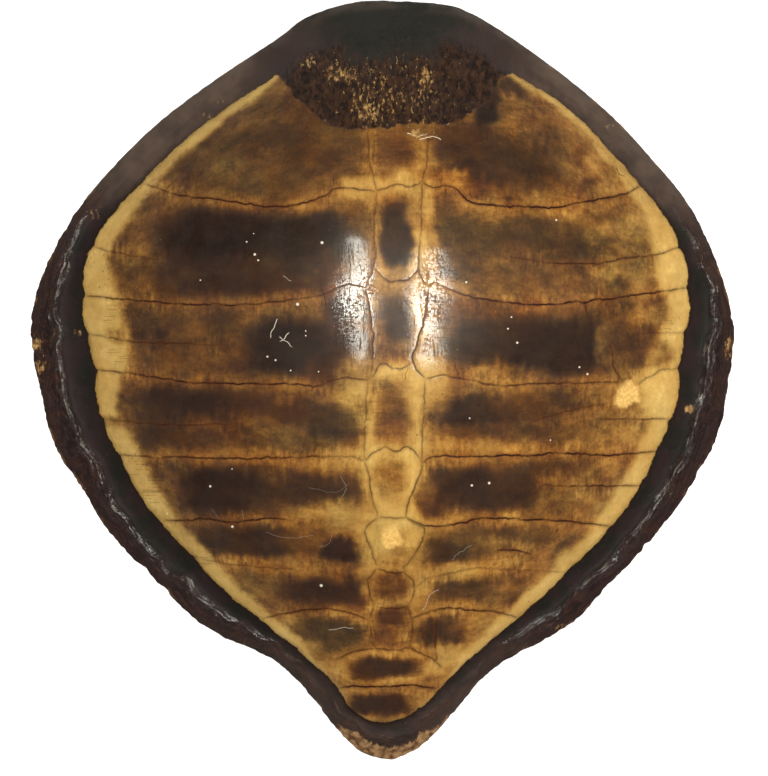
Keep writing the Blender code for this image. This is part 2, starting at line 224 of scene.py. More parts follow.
# Stains in the plates, painted in this order: (x, y, half width, half height, tone, warmth,
# softness, opacity). Tone runs from 0, black brown, to 1, cream. Warmth runs from olive to red.
GROUND_TONE, GROUND_WARMTH = 0.44, 0.5
STAINS = [
    # paler ground towards the tail
    (10, -205, 110, 42, 0.54, 0.5, 0.7, 0.8), (3, -265, 60, 26, 0.6, 0.5, 0.5, 0.9),
    (-140, 40, 150, 170, 0.36, 0.4, 0.5, 0.85),
    # left, from the neck to the tail
    (-110, 200, 90, 42, 0.27, 0.3, 0.5, 0.9), (-130, 184, 24, 16, 0.42, 0.15, 0.8, 0.7),
    (-122, 232, 40, 13, 0.4, 0.35, 0.7, 0.8), (-56, 212, 40, 30, 0.27, 0.5, 0.6, 0.8),
    (-190, 140, 32, 30, 0.38, 0.35, 0.6, 0.9), (-210, 90, 26, 22, 0.46, 0.3, 0.6, 0.85),
    (-140, 120, 50, 30, 0.03, 0.4, 0.45, 1), (-66, 120, 46, 20, 0.08, 0.1, 0.5, 0.95),
    (-150, 90, 50, 17, 0.13, 0.45, 0.6, 0.9), (-86, 97, 28, 9, 0.15, 0.3, 0.6, 0.9),
    (-46, 92, 10, 18, 0.16, 0.6, 0.7, 0.9), (-100, 82, 56, 8, 0.1, 0.55, 0.7, 0.85),
    (-43, 66, 9, 24, 0.18, 1, 0.8, 0.85), (-160, 45, 54, 18, 0.27, 0.4, 0.5, 0.85),
    (-156, 16, 58, 15, 0.29, 0.6, 0.6, 0.85), (-214, 50, 9, 20, 0.26, 0.45, 0.7, 0.9),
    (-210, 41, 6, 5, 0.12, 0.5, 0.7, 0.8), (-191, 39, 5, 4.5, 0.08, 0.5, 0.6, 0.95),
    (-76, 27, 41, 24, 0.06, 0.3, 0.45, 1), (-38, 40, 14, 34, 0.14, 0.6, 0.7, 0.8),
    (-50, 6, 14, 12, 0.14, 0.8, 0.6, 0.8), (-161, -18, 50, 15, 0.08, 0.45, 0.4, 1),
    (-190, -40, 22, 18, 0.14, 0.45, 0.5, 0.9), (-90, -24, 38, 16, 0.15, 0.7, 0.7, 0.9),
    (-128, -42, 42, 13, 0.28, 0.8, 0.7, 0.8), (-88, -48, 32, 11, 0.42, 0.3, 0.7, 0.8),
    (-82, -68, 44, 6, 0.58, 0.5, 0.8, 0.8), (-40, -34, 27, 15, 0.2, 0.1, 0.5, 0.9),
    (-70, -10, 30, 7, 0.48, 0.4, 0.7, 0.7), (-26, -20, 16, 18, 0.54, 0, 0.8, 0.7),
    (-186, -62, 30, 12, 0.2, 0.4, 0.7, 0.9), (-138, -97, 36, 22, 0.06, 0.5, 0.45, 1),
    (-62, -94, 44, 11, 0.16, 0.45, 0.6, 0.95), (-86, -110, 24, 9, 0.24, 0.5, 0.7, 0.9),
    (-50, -114, 34, 9, 0.57, 0.35, 0.7, 0.8), (-118, -139, 44, 14, 0.13, 0.4, 0.4, 1),
    (-162, -130, 26, 14, 0.22, 0.3, 0.7, 0.8), (-66, -138, 24, 12, 0.3, 0.6, 0.6, 0.8),
    (-34, -146, 17, 9, 0.08, 0.4, 0.4, 1), (-108, -178, 30, 11, 0.36, 0.3, 0.6, 0.9),
    (-52, -183, 35, 15, 0.11, 0.6, 0.4, 1), (-30, -187, 14, 12, 0.1, 0.9, 0.6, 0.6),
    (-82, -194, 26, 7, 0.32, 0.5, 0.7, 0.7), (-50, -219, 33, 14, 0.28, 0.15, 0.5, 1),
    (-38, -228, 20, 12, 0.3, 0.2, 0.6, 0.9), (-20, -212, 10, 6, 0.6, 0, 0.6, 0.5),
    # right, from the neck to the tail
    (150, 205, 60, 34, 0.48, 0.6, 0.6, 0.8), (91, 231, 11, 11, 0.08, 0.1, 0.6, 1),
    (104, 190, 56, 24, 0.2, 0.4, 0.55, 1), (72, 208, 30, 14, 0.2, 0.5, 0.6, 0.9),
    (172, 203, 22, 18, 0.56, 0.5, 0.7, 0.8), (93, 250, 9, 13, 0.14, 0.3, 0.5, 1),
    (114, 254, 12, 9, 0.14, 0.3, 0.6, 0.9), (71, 178, 15, 10, 0.11, 0.6, 0.7, 0.9),
    (134, 216, 26, 12, 0.42, 0.55, 0.7, 0.8), (57, 172, 11, 8, 0.56, 0.9, 0.7, 0.9),
    (82, 166, 14, 9, 0.34, 1, 0.7, 0.8), (72, 180, 9, 7, 0.12, 0.5, 0.7, 0.9),
    (172, 196, 6, 5, 0.36, 0.7, 0.7, 0.8), (180, 169, 6, 5, 0.26, 0.6, 0.7, 0.9),
    (112, 121, 66, 17, 0.28, 0.25, 0.55, 1), (50, 128, 14, 24, 0.34, 0.3, 0.6, 0.8),
    (46, 94, 6, 6, 0.16, 0.4, 0.7, 0.7), (72, 100, 24, 13, 0.33, 0.3, 0.6, 0.9),
    (176, 116, 26, 10, 0.24, 0.3, 0.6, 0.8), (208, 130, 28, 18, 0.5, 0.2, 0.7, 0.9),
    (178, 138, 14, 6, 0.34, 0.5, 0.7, 0.8), (216, 98, 13, 24, 0.52, 0.15, 0.7, 0.8),
    (142, 86, 56, 13, 0.35, 0.4, 0.5, 0.9), (138, 168, 28, 8, 0.26, 0.6, 0.7, 0.8),
    (152, 96, 30, 9, 0.24, 0.4, 0.7, 0.7), (207, 90, 24, 14, 0.5, 0.2, 0.7, 0.8),
    (205, 84, 10, 6, 0.32, 0.3, 0.6, 0.9), (235, 82, 5, 6, 0.3, 0.5, 0.6, 0.9),
    (114, 60, 54, 7, 0.28, 0.85, 0.7, 0.9), (130, 110, 40, 7, 0.3, 0.4, 0.7, 0.6),
    (58, 60, 14, 14, 0.32, 0.6, 0.7, 0.6), (148, 28, 46, 26, 0.07, 0.3, 0.4, 1),
    (86, 34, 32, 19, 0.12, 0.25, 0.5, 1), (214, 32, 18, 18, 0.24, 0.4, 0.6, 0.9),
    (234, 56, 18, 8, 0.56, 0.3, 0.7, 0.8), (191, 33, 6, 15, 0.4, 0.2, 0.7, 0.9),
    (208, 14, 26, 9, 0.34, 0.4, 0.7, 0.8), (240, 26, 13, 16, 0.38, 0.5, 0.7, 0.8),
    (90, 3, 46, 8, 0.5, 0.6, 0.6, 0.8), (70, -27, 40, 12, 0.12, 0.35, 0.45, 1),
    (136, -20, 44, 13, 0.22, 0.5, 0.6, 0.9), (118, -46, 54, 9, 0.25, 0.5, 0.7, 0.85),
    (66, -62, 42, 9, 0.66, 0.5, 0.8, 0.8), (66, -72, 38, 5, 0.6, 0.6, 0.7, 0.8),
    (180, -34, 26, 10, 0.4, 0.5, 0.7, 0.8), (188, -13, 18, 8, 0.34, 0.5, 0.7, 0.85),
    (214, -34, 28, 20, 0.62, 0.4, 0.7, 0.85), (92, -94, 55, 19, 0.13, 0.45, 0.45, 1),
    (44, -98, 14, 18, 0.14, 0.6, 0.6, 0.85), (150, -86, 16, 14, 0.34, 0.7, 0.7, 0.8),
    (156, -110, 24, 8, 0.54, 0.5, 0.7, 0.8), (182, -98, 34, 20, 0.48, 0.5, 0.6, 0.9),
    (124, -72, 50, 8, 0.18, 0.6, 0.7, 0.85), (212, -78, 12, 18, 0.5, 0.7, 0.7, 0.7),
    (88, -134, 44, 6, 0.36, 0.35, 0.7, 0.8), (56, -150, 26, 11, 0.15, 0.2, 0.6, 0.9),
    (130, -148, 42, 13, 0.48, 0.45, 0.6, 0.8), (120, -132, 26, 6, 0.26, 0.4, 0.7, 0.8),
    (165, -142, 10, 6, 0.34, 0.3, 0.7, 0.7), (70, -181, 32, 11, 0.24, 0.3, 0.6, 0.9),
    (122, -182, 24, 11, 0.4, 0.45, 0.7, 0.8), (80, -232, 24, 14, 0.66, 0.4, 0.7, 0.8),
    (50, -219, 24, 14, 0.19, 0.45, 0.5, 1), (90, -215, 22, 12, 0.57, 0.5, 0.7, 0.8),
    (56, -238, 18, 9, 0.72, 0.4, 0.7, 0.85), (206, 160, 28, 8, 0.6, 0.5, 0.7, 0.8),
    # above the tail
    (20, -291, 9, 4, 0.5, 0.9, 0.6, 0.7),
]
# The backbone's plates and what lies over the cream ends, painted over everything else.
BACKBONE_STAINS = [
    (13, 168, 25, 34, 0.72, 0.45, 0.5, 0.85), (14, 60, 19, 130, 0.74, 0.35, 0.4, 0.95),
    (39, 122, 7, 42, 0.72, 0.4, 0.6, 0.7), (42, -4, 14, 26, 0.78, 0.3, 0.7, 0.8),
    (-24, 0, 14, 18, 0.74, 0.2, 0.7, 0.7), (-28, -68, 26, 9, 0.76, 0.3, 0.7, 0.7),
    (10, -70, 26, 66, 0.84, 0.2, 0.4, 0.95), (-28, -118, 20, 11, 0.7, 0.15, 0.6, 0.8),
    (-6, -142, 17, 26, 0.77, 0.05, 0.5, 0.8), (28, -134, 9, 18, 0.76, 0.2, 0.7, 0.8),
    (22, 9, 26, 11, 0.84, 0.3, 0.6, 0.95), (31, 113, 6, 16, 0.8, 0.3, 0.6, 0.8),
    (-18, 165, 18, 8, 0.8, 0.3, 0.7, 0.85), (38, 156, 6, 14, 0.76, 0.4, 0.7, 0.8),
    (54, -166, 32, 7, 0.72, 0.3, 0.8, 0.85), (230, 2, 13, 8, 0.8, 0.2, 0.6, 0.8),
    (12, 200, 17, 16, 0.26, 0.6, 0.6, 0.95), (12, 150, 15, 9, 0.42, 0.6, 0.6, 0.7),
    (12, 124, 14, 27, 0.12, 0.3, 0.35, 1), (12, 80, 16, 10, 0.5, 0.4, 0.6, 0.85),
    (0, 76, 7, 10, 0.46, 0.5, 0.7, 0.8), (11, 48, 14, 22, 0.13, 0.4, 0.6, 0.95),
    (-3, 40, 6, 20, 0.5, 0.5, 0.7, 0.7), (12, 26, 15, 10, 0.46, 0.6, 0.7, 0.7),
    (8, -24, 14, 22, 0.3, 0.45, 0.7, 0.95), (11, -45, 15, 12, 0.44, 0.8, 0.7, 0.8),
    (7, -84, 13, 17, 0.44, 0.45, 0.7, 0.8), (12, -188, 24, 36, 0.62, 0.6, 0.5, 0.8),
    (31, -168, 12, 18, 0.66, 0.3, 0.7, 0.8), (20, -195, 9, 10, 0.66, 0.5, 0.7, 0.7),
    (7, -179, 12, 10, 0.3, 0.75, 0.6, 0.95), (7, -205, 13, 8, 0.22, 0.85, 0.6, 0.9),
    (5, -223, 11, 7, 0.28, 0.85, 0.6, 0.8), (-34, -250, 12, 9, 0.56, 0.5, 0.6, 0.8),
    (47, -247, 10, 8, 0.68, 0.2, 0.6, 0.9), (36, -257, 9, 4, 0.5, 0.5, 0.7, 0.8),
    (238, -12, 15, 21, 0.84, 0.2, 0.4, 1), (-66, -232, 10, 6, 0.72, 0.1, 0.8, 0.7),
    (1, -250, 27, 9, 0.13, 0.5, 0.45, 1), (-2, -282, 26, 9, 0.11, 0.5, 0.45, 1),
    (-229, 39, 10, 6, 0.44, 0.2, 0.6, 0.85), (-234, -38, 11, 5, 0.52, 0.3, 0.6, 0.85),
    (241, 22, 9, 10, 0.48, 0.4, 0.6, 0.85), (2, 181, 8, 8, 0.42, 0.5, 0.7, 0.85),
    (-48, 171, 12, 9, 0.34, 0.6, 0.7, 0.8), (29, 141, 9, 9, 0.46, 0.4, 0.7, 0.8),
    (38, -97, 8, 11, 0.34, 0.5, 0.6, 0.85),
]
CREAM_TONE, CREAM_WARMTH = 0.82, 0.2
# Width of the cream border inside the plates' ends: (degrees, millimetres).
BORDER_WIDTHS = [
    (0, 17), (8, 27), (20, 14), (32, 8), (45, 5), (60, 4), (75, 0), (110, 0), (125, 8), (145, 10),
    (152, 9), (158, 14), (168, 16), (175, 27), (184, 38), (190, 34), (196, 21), (201, 15),
    (207, 19), (216, 16), (226, 13), (236, 12), (250, 9), (262, 1.5), (278, 1), (288, 10),
    (300, 12), (312, 13), (322, 16), (332, 15), (340, 18), (347, 30), (354, 20),
]
# Where the surface is lost and golden bone shows: (x, y, half width, half height).
GOLD_PATCHES = [(212, -13, 11, 10), (8, -136, 9.5, 9)]
# Worn or chipped places where ochre bone shows, and a painted glint: (x, y, half width, half
# height, strength).
WORN_AND_GLINTS = [
    (-302, 32, 4, 6, 1), (-298, 12, 4, 6, 0.9), (303, 28, 4, 10, 0.9), (266, -24, 4, 4, 1),
    (-266, 40, 4, 4, 0.7), (-152, 230, 9, 3, 0.6), (-143, 243, 6, 3, 0.5), (-249, 144, 6, 5, 0.5),
    (157, -216, 9, 3, 0.7), (178, 180, 4, 4, 0.3), (201, 221, 7, 1.6, 0.6), (38, 262, 5, 8, 1),
    (-41, 266, 10, 8, 0.8), (-63, 277, 8, 6, 0.7), (-29, 264, 5, 8, 0.8), (-13, 232, 6, 8, 0.9),
    # The two at (30, 212) and (43, 211) are a painted glint on the neck plate's step, laid on as
    # ochre.
    (30, 212, 8, 3, 1), (43, 211, 8, 2, 0.9), (-8, 242, 22, 24, 0.62), (32, 244, 16, 22, 0.54),
    (10, 250, 50, 26, 0.45), (-205, -178, 9, 2.5, 0.5), (-150, -221, 9, 2.5, 0.4),
    (-262, -96, 4, 8, 0.4),
]
# Inner edge of the ochre lip under the tail, from left to right.
TAIL_LIP = [
    (-56, -292), (-42, -300), (-31, -304), (-20, -308), (-14, -314), (0, -319), (15, -318),
    (29, -314), (32, -307), (47, -303), (58, -290),
]
# Fine scratches and cracks that are no seam, and a painted glint on the neck plate's step: (how
# pale, from -1 dark to 1 white, points).
SCRATCHES_AND_GLINTS = [
    (-1, [(-42, 171), (-43, 165), (-46, 158)]), (-1, [(-53, 78), (-50, 72), (-49, 65)]),
    (-0.8, [(-28, 106), (-28, 84), (-29, 62)]), (-0.7, [(-20, 101), (-18, 92)]),
    (-0.6, [(40, 92), (39, 85)]), (-0.7, [(22, 11), (19, 0)]),
    (-0.8, [(63, 15), (64, 6), (67, -2)]), (-1, [(203, 184), (205, 180), (209, 177)]),
    (-0.6, [(-39, 52), (-40, 38), (-39, 28)]), (-0.5, [(-34, 120), (-35, 104)]),
    (0.8, [(-91, 52), (-93, 45), (-96, 41), (-97, 37)]), (0.9, [(-87, 34), (-83, 37), (-81, 40)]),
    (0.7, [(-87, 36), (-78, 29)]), (0.5, [(-84, 88), (-79, 86)]),
    (0.35, [(-43, -131), (-46, -141), (-54, -144)]), (0.6, [(-46, -217), (-37, -215), (-26, -215)]),
    (0.35, [(-121, -114), (-121, -123)]), (0.3, [(-148, -112), (-139, -123)]),
    (0.4, [(60, -155), (71, -146), (77, -143)]), (0.5, [(36, -198), (41, -186), (47, -182)]),
    (0.3, [(-63, -93), (-40, -97), (-30, -90)]), (0.4, [(-36, -84), (-31, -93), (-35, -101)]),
    (0.35, [(-100, -132), (-80, -137), (-60, -134)]), (0.5, [(56, 221), (68, 228), (81, 234)]),
    # A painted glint: two near-white lines where the light catches the step at the neck plate's
    # edge.
    (0.9, [(22, 213), (30, 210), (38, 212)]), (0.9, [(33, 207), (42, 210), (50, 208)]),
]
# Bundles of short level cracks: (x, y, half width, height, count).
CRACKS = [
    (-228, 22, 8, 12, 6), (-201, -95, 8, 22, 9), (-238, 58, 6, 14, 4), (-212, -76, 7, 12, 4),
    (243, 52, 6, 16, 5), (-150, -152, 7, 14, 4), (53, 52, 8, 30, 17), (-32, 46, 7, 30, 13),
]
CRACK_PALENESS, CRACK_SEED = -0.58, 6
# White specks in the varnish: (x, y, radius).
SPECKS = [
    (-117, 119, 0.8), (-52, 118, 1.5), (-110, 108, 1.3), (-107, 103, 1), (-111, 126, 0.6),
    (-157, 86, 0.7), (-99, 20, 1), (-92, 17, 1), (-79, 8, 0.8), (-55, 7, 0.7), (-66, 42, 0.7),
    (-66, 38, 0.7), (150, 138, 1), (72, 84, 1), (111, 54, 0.8), (108, 44, 0.9), (116, 32, 1.1),
    (170, 11, 1), (177, 5, 1.1), (-149, -92, 1.2), (-130, -77, 0.7), (-130, -127, 1.3),
    (-53, -178, 1.5), (-187, -116, 0.8), (77, -91, 1.2), (92, -89, 1.3), (145, -52, 0.8),
    (75, -33, 0.8), (56, 319, 1.2), (-9, 285, 1.1), (-49, 225, 1.3), (-73, 65, 1.6),
]

# --- Mesh sizes ---

EDGE_STEP = 1.62  # between points along the outer edge
PLATE_END_STEP = 0.9
SEAM_STEP = 2.1
SCRATCH_AND_GLINT_STEP = 1.3
PLATE_SPACING = 2.75
RIM_SPACING = 1.75
UNDER_SPACING = 5.2
# Rows of points beside the lines, in millimetres to their left.
EDGE_ROWS = (0.5, 1.4)
PLATE_ROWS = (4.2, 2.9, 1.8, 0.9, 0.25, -0.15, -0.9)
NUCHAL_ROWS = (-0.9, 0.0, 0.9)
SCRATCH_AND_GLINT_ROWS = (-0.6, 0.0, 0.6)
SEAM_ROWS = (0.55, 1.5)  # on both sides
SPECK_RINGS = (0.0, 0.7, 1.3)  # shares of a speck's radius
UNDER_EDGE_ROWS = (0.45, 1.5)
UNDER_WIDE_ROWS = (5.0, 10.4, 13.0)
# The fill keeps this far from the lines, in shares of its own spacing or of the row's distance.
SEAM_ROW_CLEARANCE, PLATE_CLEARANCE, RIM_CLEARANCE = 0.85, 0.62, 0.6
KEPT_FROM_EDGE = 0.35
RIM_FILL_FROM_EDGE, RIM_FILL_PAST_PLATES, PLATE_FILL_PAST_PLATES = 2.4, 1.6, -5.2
UNDER_FILL_FROM_EDGE = 16
AT_APEX = 5  # corners of the CAD mesh closer than this to the apex lie on no ray
RAY_GAP = 0.4  # degrees between corners of two rays of the CAD mesh, at least
FAR = 400  # beyond the shell
RING_STEPS = 2400  # directions in which the distance to a closed curve is kept
RING_MARGIN = 200  # of these, past both ends when they are blurred


def smooth_step(low, high, value):
    share = np.clip((value - low) / (high - low), 0, 1)
    return share * share * (3 - 2 * share)


def bell(value, half_width):
    return np.exp(-((value / half_width) ** 2))


def waves(points, size, seed, count=28):
    """An irregular smooth field over the plan, with a spread of about 1 and lumps of this size."""
    dice = np.random.default_rng(seed)
    heading = dice.uniform(0, TURN, count)
    pitch = math.pi / (size * dice.uniform(0.7, 1.9, count))
    phase = dice.uniform(0, TURN, count)
    turns = points[:, :1] * (np.cos(heading) * pitch) + points[:, 1:2] * (np.sin(heading) * pitch)
    return np.sin(turns + phase).sum(axis=1) * math.sqrt(2 / count)


def curve_through(points, step, closed=False):
    """Evenly spaced points on a Catmull-Rom curve through the given ones."""
    knots = np.array(points, float)
    if closed:
        knots = np.vstack([knots[-1:], knots, knots[:2]])
    else:
        knots = np.vstack([2 * knots[0] - knots[1], knots, 2 * knots[-1] - knots[-2]])
    a, b, c, d = (knots[k:len(knots) - 3 + k, None] for k in range(4))
    t = np.linspace(0, 1, 20, endpoint=False)[None, :, None]
    fine = 0.5 * (2 * b + (c - a) * t + (2 * a - 5 * b + 4 * c - d) * t**2
                  + (3 * b - a - 3 * c + d) * t**3)
    fine = np.vstack([fine.reshape(-1, knots.shape[1]), knots[-2:-1]])
    along = np.concatenate([[0], np.cumsum(np.hypot(*np.diff(fine[:, :2], axis=0).T))])
    count = max(2, round(along[-1] / step))
    wanted = np.linspace(0, along[-1], count + (not closed), endpoint=not closed)
    return np.column_stack([np.interp(wanted, along, column) for column in fine.T])


def normals_of(line, closed=False):
    """Unit vectors across a line of points, to its left."""
    if closed:
        ahead = np.roll(line, -1, axis=0) - np.roll(line, 1, axis=0)
    else:
        ahead = np.gradient(line, axis=0)
    ahead /= np.linalg.norm(ahead, axis=1)[:, None]
    return np.column_stack([-ahead[:, 1], ahead[:, 0]])


def polar(points):
    """Direction and distance of points from the apex."""
    out = points[:, :2] - APEX
    return np.arctan2(out[:, 1], out[:, 0]) % TURN, np.hypot(out[:, 0], out[:, 1])


def around(table, angle):
    """A value given at some directions in degrees, read in between."""
    angles, values = np.array(table, float).T
    turn = np.degrees(angle) % 360
    k = np.searchsorted(angles, turn, side="right") - 1
    after = (k + 1) % len(values)
    share = smooth_step(0, 1, ((turn - angles[k]) % 360) / ((angles[after] - angles[k]) % 360))
    return values[k] + (values[after] - values[k]) * share


def nearest(targets, points):
    """Distance to the nearest of the targets, and its number."""
    tree = KDTree(len(targets))
    for i, (x, y) in enumerate(targets):
        tree.insert((x, y, 0), i)
    tree.balance()
    found = [tree.find((x, y, 0)) for x, y in points]
    return np.array([hit[2] for hit in found]), np.array([hit[1] for hit in found])


class Ring:
    """A closed curve round the apex, read as a distance from it in each direction."""

    def __init__(self, points, blur=0.0):
        angle, radius = polar(points)
        self.angles = np.linspace(0, TURN, RING_STEPS, endpoint=False)
        order = np.argsort(angle)
        self.radii = np.interp(self.angles, angle[order], radius[order], period=TURN)
        if blur:
            reach = np.arange(-RING_MARGIN, RING_MARGIN + 1)
            weight = bell(reach * (360 / RING_STEPS), blur)
            padded = [self.radii[-RING_MARGIN:], self.radii, self.radii[:RING_MARGIN]]
            self.radii = np.convolve(np.concatenate(padded), weight / weight.sum(), "valid")
        slope = np.gradient(np.concatenate([self.radii[-3:], self.radii, self.radii[:3]]))[3:-3]
        self.slants = 1 / np.hypot(1, slope / (TURN / RING_STEPS) / self.radii)

    def radius(self, angle):
        return np.interp(angle, self.angles, self.radii, period=TURN)

    def slant(self, angle):
        """Cosine between the direction from the apex and the curve's own outward direction."""
        return np.interp(angle, self.angles, self.slants, period=TURN)


# --- Lines of the plan ---


def outer_edge():
    """The rim's edge, read from the CAD mesh: its outermost corner on each ray from the apex."""
    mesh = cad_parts[NODE].data
    corners = np.array([vertex.co[:2] for vertex in mesh.vertices]) / MM
    angle, radius = polar(corners)
    order = np.argsort(angle)
    order = order[radius[order] > AT_APEX]
    gaps = np.diff(angle[order]) > math.radians(RAY_GAP)
    rays = np.split(order, np.flatnonzero(gaps) + 1)
    edge = np.array([corners[ray[np.argmax(radius[ray])]] for ray in rays])
    line = curve_through(edge, EDGE_STEP, closed=True)
    inward = normals_of(line, closed=True)
    depth = 0.28 * waves(line, 7, 11) + 0.22 * waves(line, 2.6, 12) - 0.5
    angle, _ = polar(line)
    depth *= 0.25 + 0.75 * around(CREST_STRENGTHS, angle)
    for x, y, half, deep in CHIPS:
        depth += deep * bell(np.hypot(line[:, 0] - x, line[:, 1] - y), half)
    return line + inward * np.clip(depth, -1.2, 3)[:, None]


def plate_edge():
    """The ends of the plates, swelling between the seams."""
    table = np.array(PLATE_ENDS, float)
    line = curve_through(table[:, :2], PLATE_END_STEP, closed=True)
    inward = normals_of(line, closed=True)
    _, at = nearest(line, table[:, :2])
    place = np.arange(len(line))
    swell = np.zeros(len(line))
    for start, end, bulge in zip(at, np.roll(at, -1), table[:, 2]):
        length = (end - start) % len(line)
        share = ((place - start) % len(line)) / length
        inside = share < 1
        swell[inside] = bulge * (1 - (2 * share[inside] - 1) ** 2) ** 0.6
    swell += 0.25 * waves(line, 5, 21)
    return line - inward * swell[:, None]


def seam_lines():
    """Each seam as a wandering line of close points, with its darkness and golden border."""
    lines = []
    for number, (ink, gold, points) in enumerate(SEAMS):
        line = curve_through(points, SEAM_STEP)
        along = np.column_stack([np.arange(len(line)) * SEAM_STEP, np.zeros(len(line))])
        taper = np.sin(np.linspace(0, math.pi, len(line))) ** 0.4
        wander = 0.40 * waves(along, 7, 100 + number) + 0.28 * waves(along, 2.4, 200 + number)
        lines.append((ink, gold, line + normals_of(line) * (wander * taper)[:, None]))
    return lines


def scratch_and_glint_lines():
    """Each scratch, crack and painted glint as a line of close points, with how pale it is."""
    lines = []
    for number, (pale, points) in enumerate(SCRATCHES_AND_GLINTS):
        line = curve_through(points, SCRATCH_AND_GLINT_STEP)
        shake = 0.3 * waves(line, 3, 300 + number)
        lines.append((pale, line + normals_of(line) * shake[:, None]))
    dice = np.random.default_rng(CRACK_SEED)
    for x, y, half, tall, count in CRACKS:
        for level in np.linspace(y - tall / 2, y + tall / 2, count):
            middle = x + half * dice.uniform(-0.7, 0.7)
            reach = half * dice.uniform(0.2, 0.7)
            level = level + dice.uniform(-0.8, 0.8)
            ends = [(middle - reach, level), (middle + reach, level + dice.uniform(-0.5, 0.5))]
            lines.append((CRACK_PALENESS, curve_through(ends, SCRATCH_AND_GLINT_STEP)))
    return lines


def nuchal_line():
    line = curve_through(NUCHAL_EDGE, 1.6)
    return line + normals_of(line) * (0.7 * waves(line, 4, 31))[:, None]


EDGE = outer_edge()
PLATES = plate_edge()
NUCHAL = nuchal_line()
LINES = seam_lines()
SEAM_POINTS = np.vstack([line for _, _, line in LINES])
SCRATCH_AND_GLINT_LINES = scratch_and_glint_lines()
EDGE_RING = Ring(EDGE)
EDGE_SMOOTH = Ring(EDGE, blur=3.0)
PLATE_RING = Ring(PLATES)
PLATE_SMOOTH = Ring(PLATES, blur=4.0)


# --- Heights ---


def margin_height(angle):
    """Lower side of the margin, arched over the neck and the hind legs."""
    facing_front = np.clip((np.sin(angle) - FRONT_ARCH_FROM) / (1 - FRONT_ARCH_FROM), 0, 1)
    height = FRONT_RISE * facing_front**2 * (3 - 2 * facing_front)
    for leg in HIND_LEGS:
        height = height + HIND_RISE * bell(np.degrees(angle) % 360 - leg, HIND_SPREAD)
    return height


def dome_height(share, plates, angle):
    """Height of the dome, from 1 at the apex to 0 at the plates' ends."""
    forward = np.clip(np.sin(angle), 0, 1) / EGG_FRONT
    backward = np.clip(-np.sin(angle), 0, 1) / EGG_TAIL
    egg = 1 / np.sqrt((np.cos(angle) / EGG_SIDE) ** 2 + forward**2 + backward**2)
    share = share * plates / (egg + (plates - egg) * share**4)
    arch = 1 - ARCH_SQUARE * share**2 - ARCH_FOURTH * share**4
    soft = SLOPE_ROUNDING
    slope = 1 - (np.sqrt(share**2 + soft**2) - soft) / (math.sqrt(1 + soft**2) - soft)
    towards_tail = SLOPE_SHARE * np.clip(-np.sin(angle), 0, 1) ** 2
    return arch * (1 - towards_tail) + slope * towards_tail


class Plan:
    """What is true at each point of the plan: its place between the lines of the shell."""

    def __init__(self, points):
        self.points = points
        self.angle, self.radius = polar(points)
        slant = EDGE_SMOOTH.slant(self.angle)
        self.plates = PLATE_SMOOTH.radius(self.angle)
        self.rim = EDGE_SMOOTH.radius(self.angle) - self.plates
        # millimetres in from the outer edge, and out from the ends of the plates
        self.from_edge = (EDGE_RING.radius(self.angle) - self.radius) * slant
        self.past_plates = (self.radius - PLATE_RING.radius(self.angle)) * slant
        crest = self.plates + self.rim * around(CREST_PLACES, self.angle)
        self.crest_strength = around(CREST_STRENGTHS, self.angle)
        wander = 1.3 * waves(points, 16, 41) + 0.5 * waves(points, 6, 42)
        self.past_crest = (self.radius - crest) * slant + wander
        self.low = margin_height(self.angle)
        self.plates_top = self.low + PLATE_EDGE_HEIGHT
        self.edge_middle = self.low + EDGE_THICKNESS / 2
        self.facing_front = smooth_step(FRONT_FROM, FRONT_FULL, np.sin(self.angle))

    def dome(self):
        """The dome, level with the plates' ends wherever the point lies past them."""
        share = np.clip(self.radius / self.plates, 0, 1)
        return self.plates_top + (HEIGHT - self.plates_top) * dome_height(
            share, self.plates, self.angle)

    def rim_line(self):
        """The straight line from the foot of the plates to the outer edge."""
        foot = self.plates_top - PLATE_STEP
        edge_top = self.low + EDGE_THICKNESS
        share = np.clip((self.radius - self.plates) / self.rim, -0.2, 1)
        return foot + (edge_top - foot) * share, share


def crest_relief(plan):
    """Height of the wrinkled double crest over the rim."""
    away = plan.past_crest
    ripple = waves(np.column_stack([plan.angle * RIPPLE_RADIUS, away * 0.25]), 5, 43)
    lumps = waves(plan.points, 12, 44)
    tall = plan.crest_strength * (CREST_HEIGHT + 0.5 * lumps)
    second = 0.55 * bell(away - 4.6, 1.5) * (1 + 0.5 * waves(plan.points, 18, 45))
    shoulder = 0.8 * bell(away, 6.0)
    return tall * ((bell(away, 1.7) + second) * (1 + 0.12 * ripple) + shoulder)


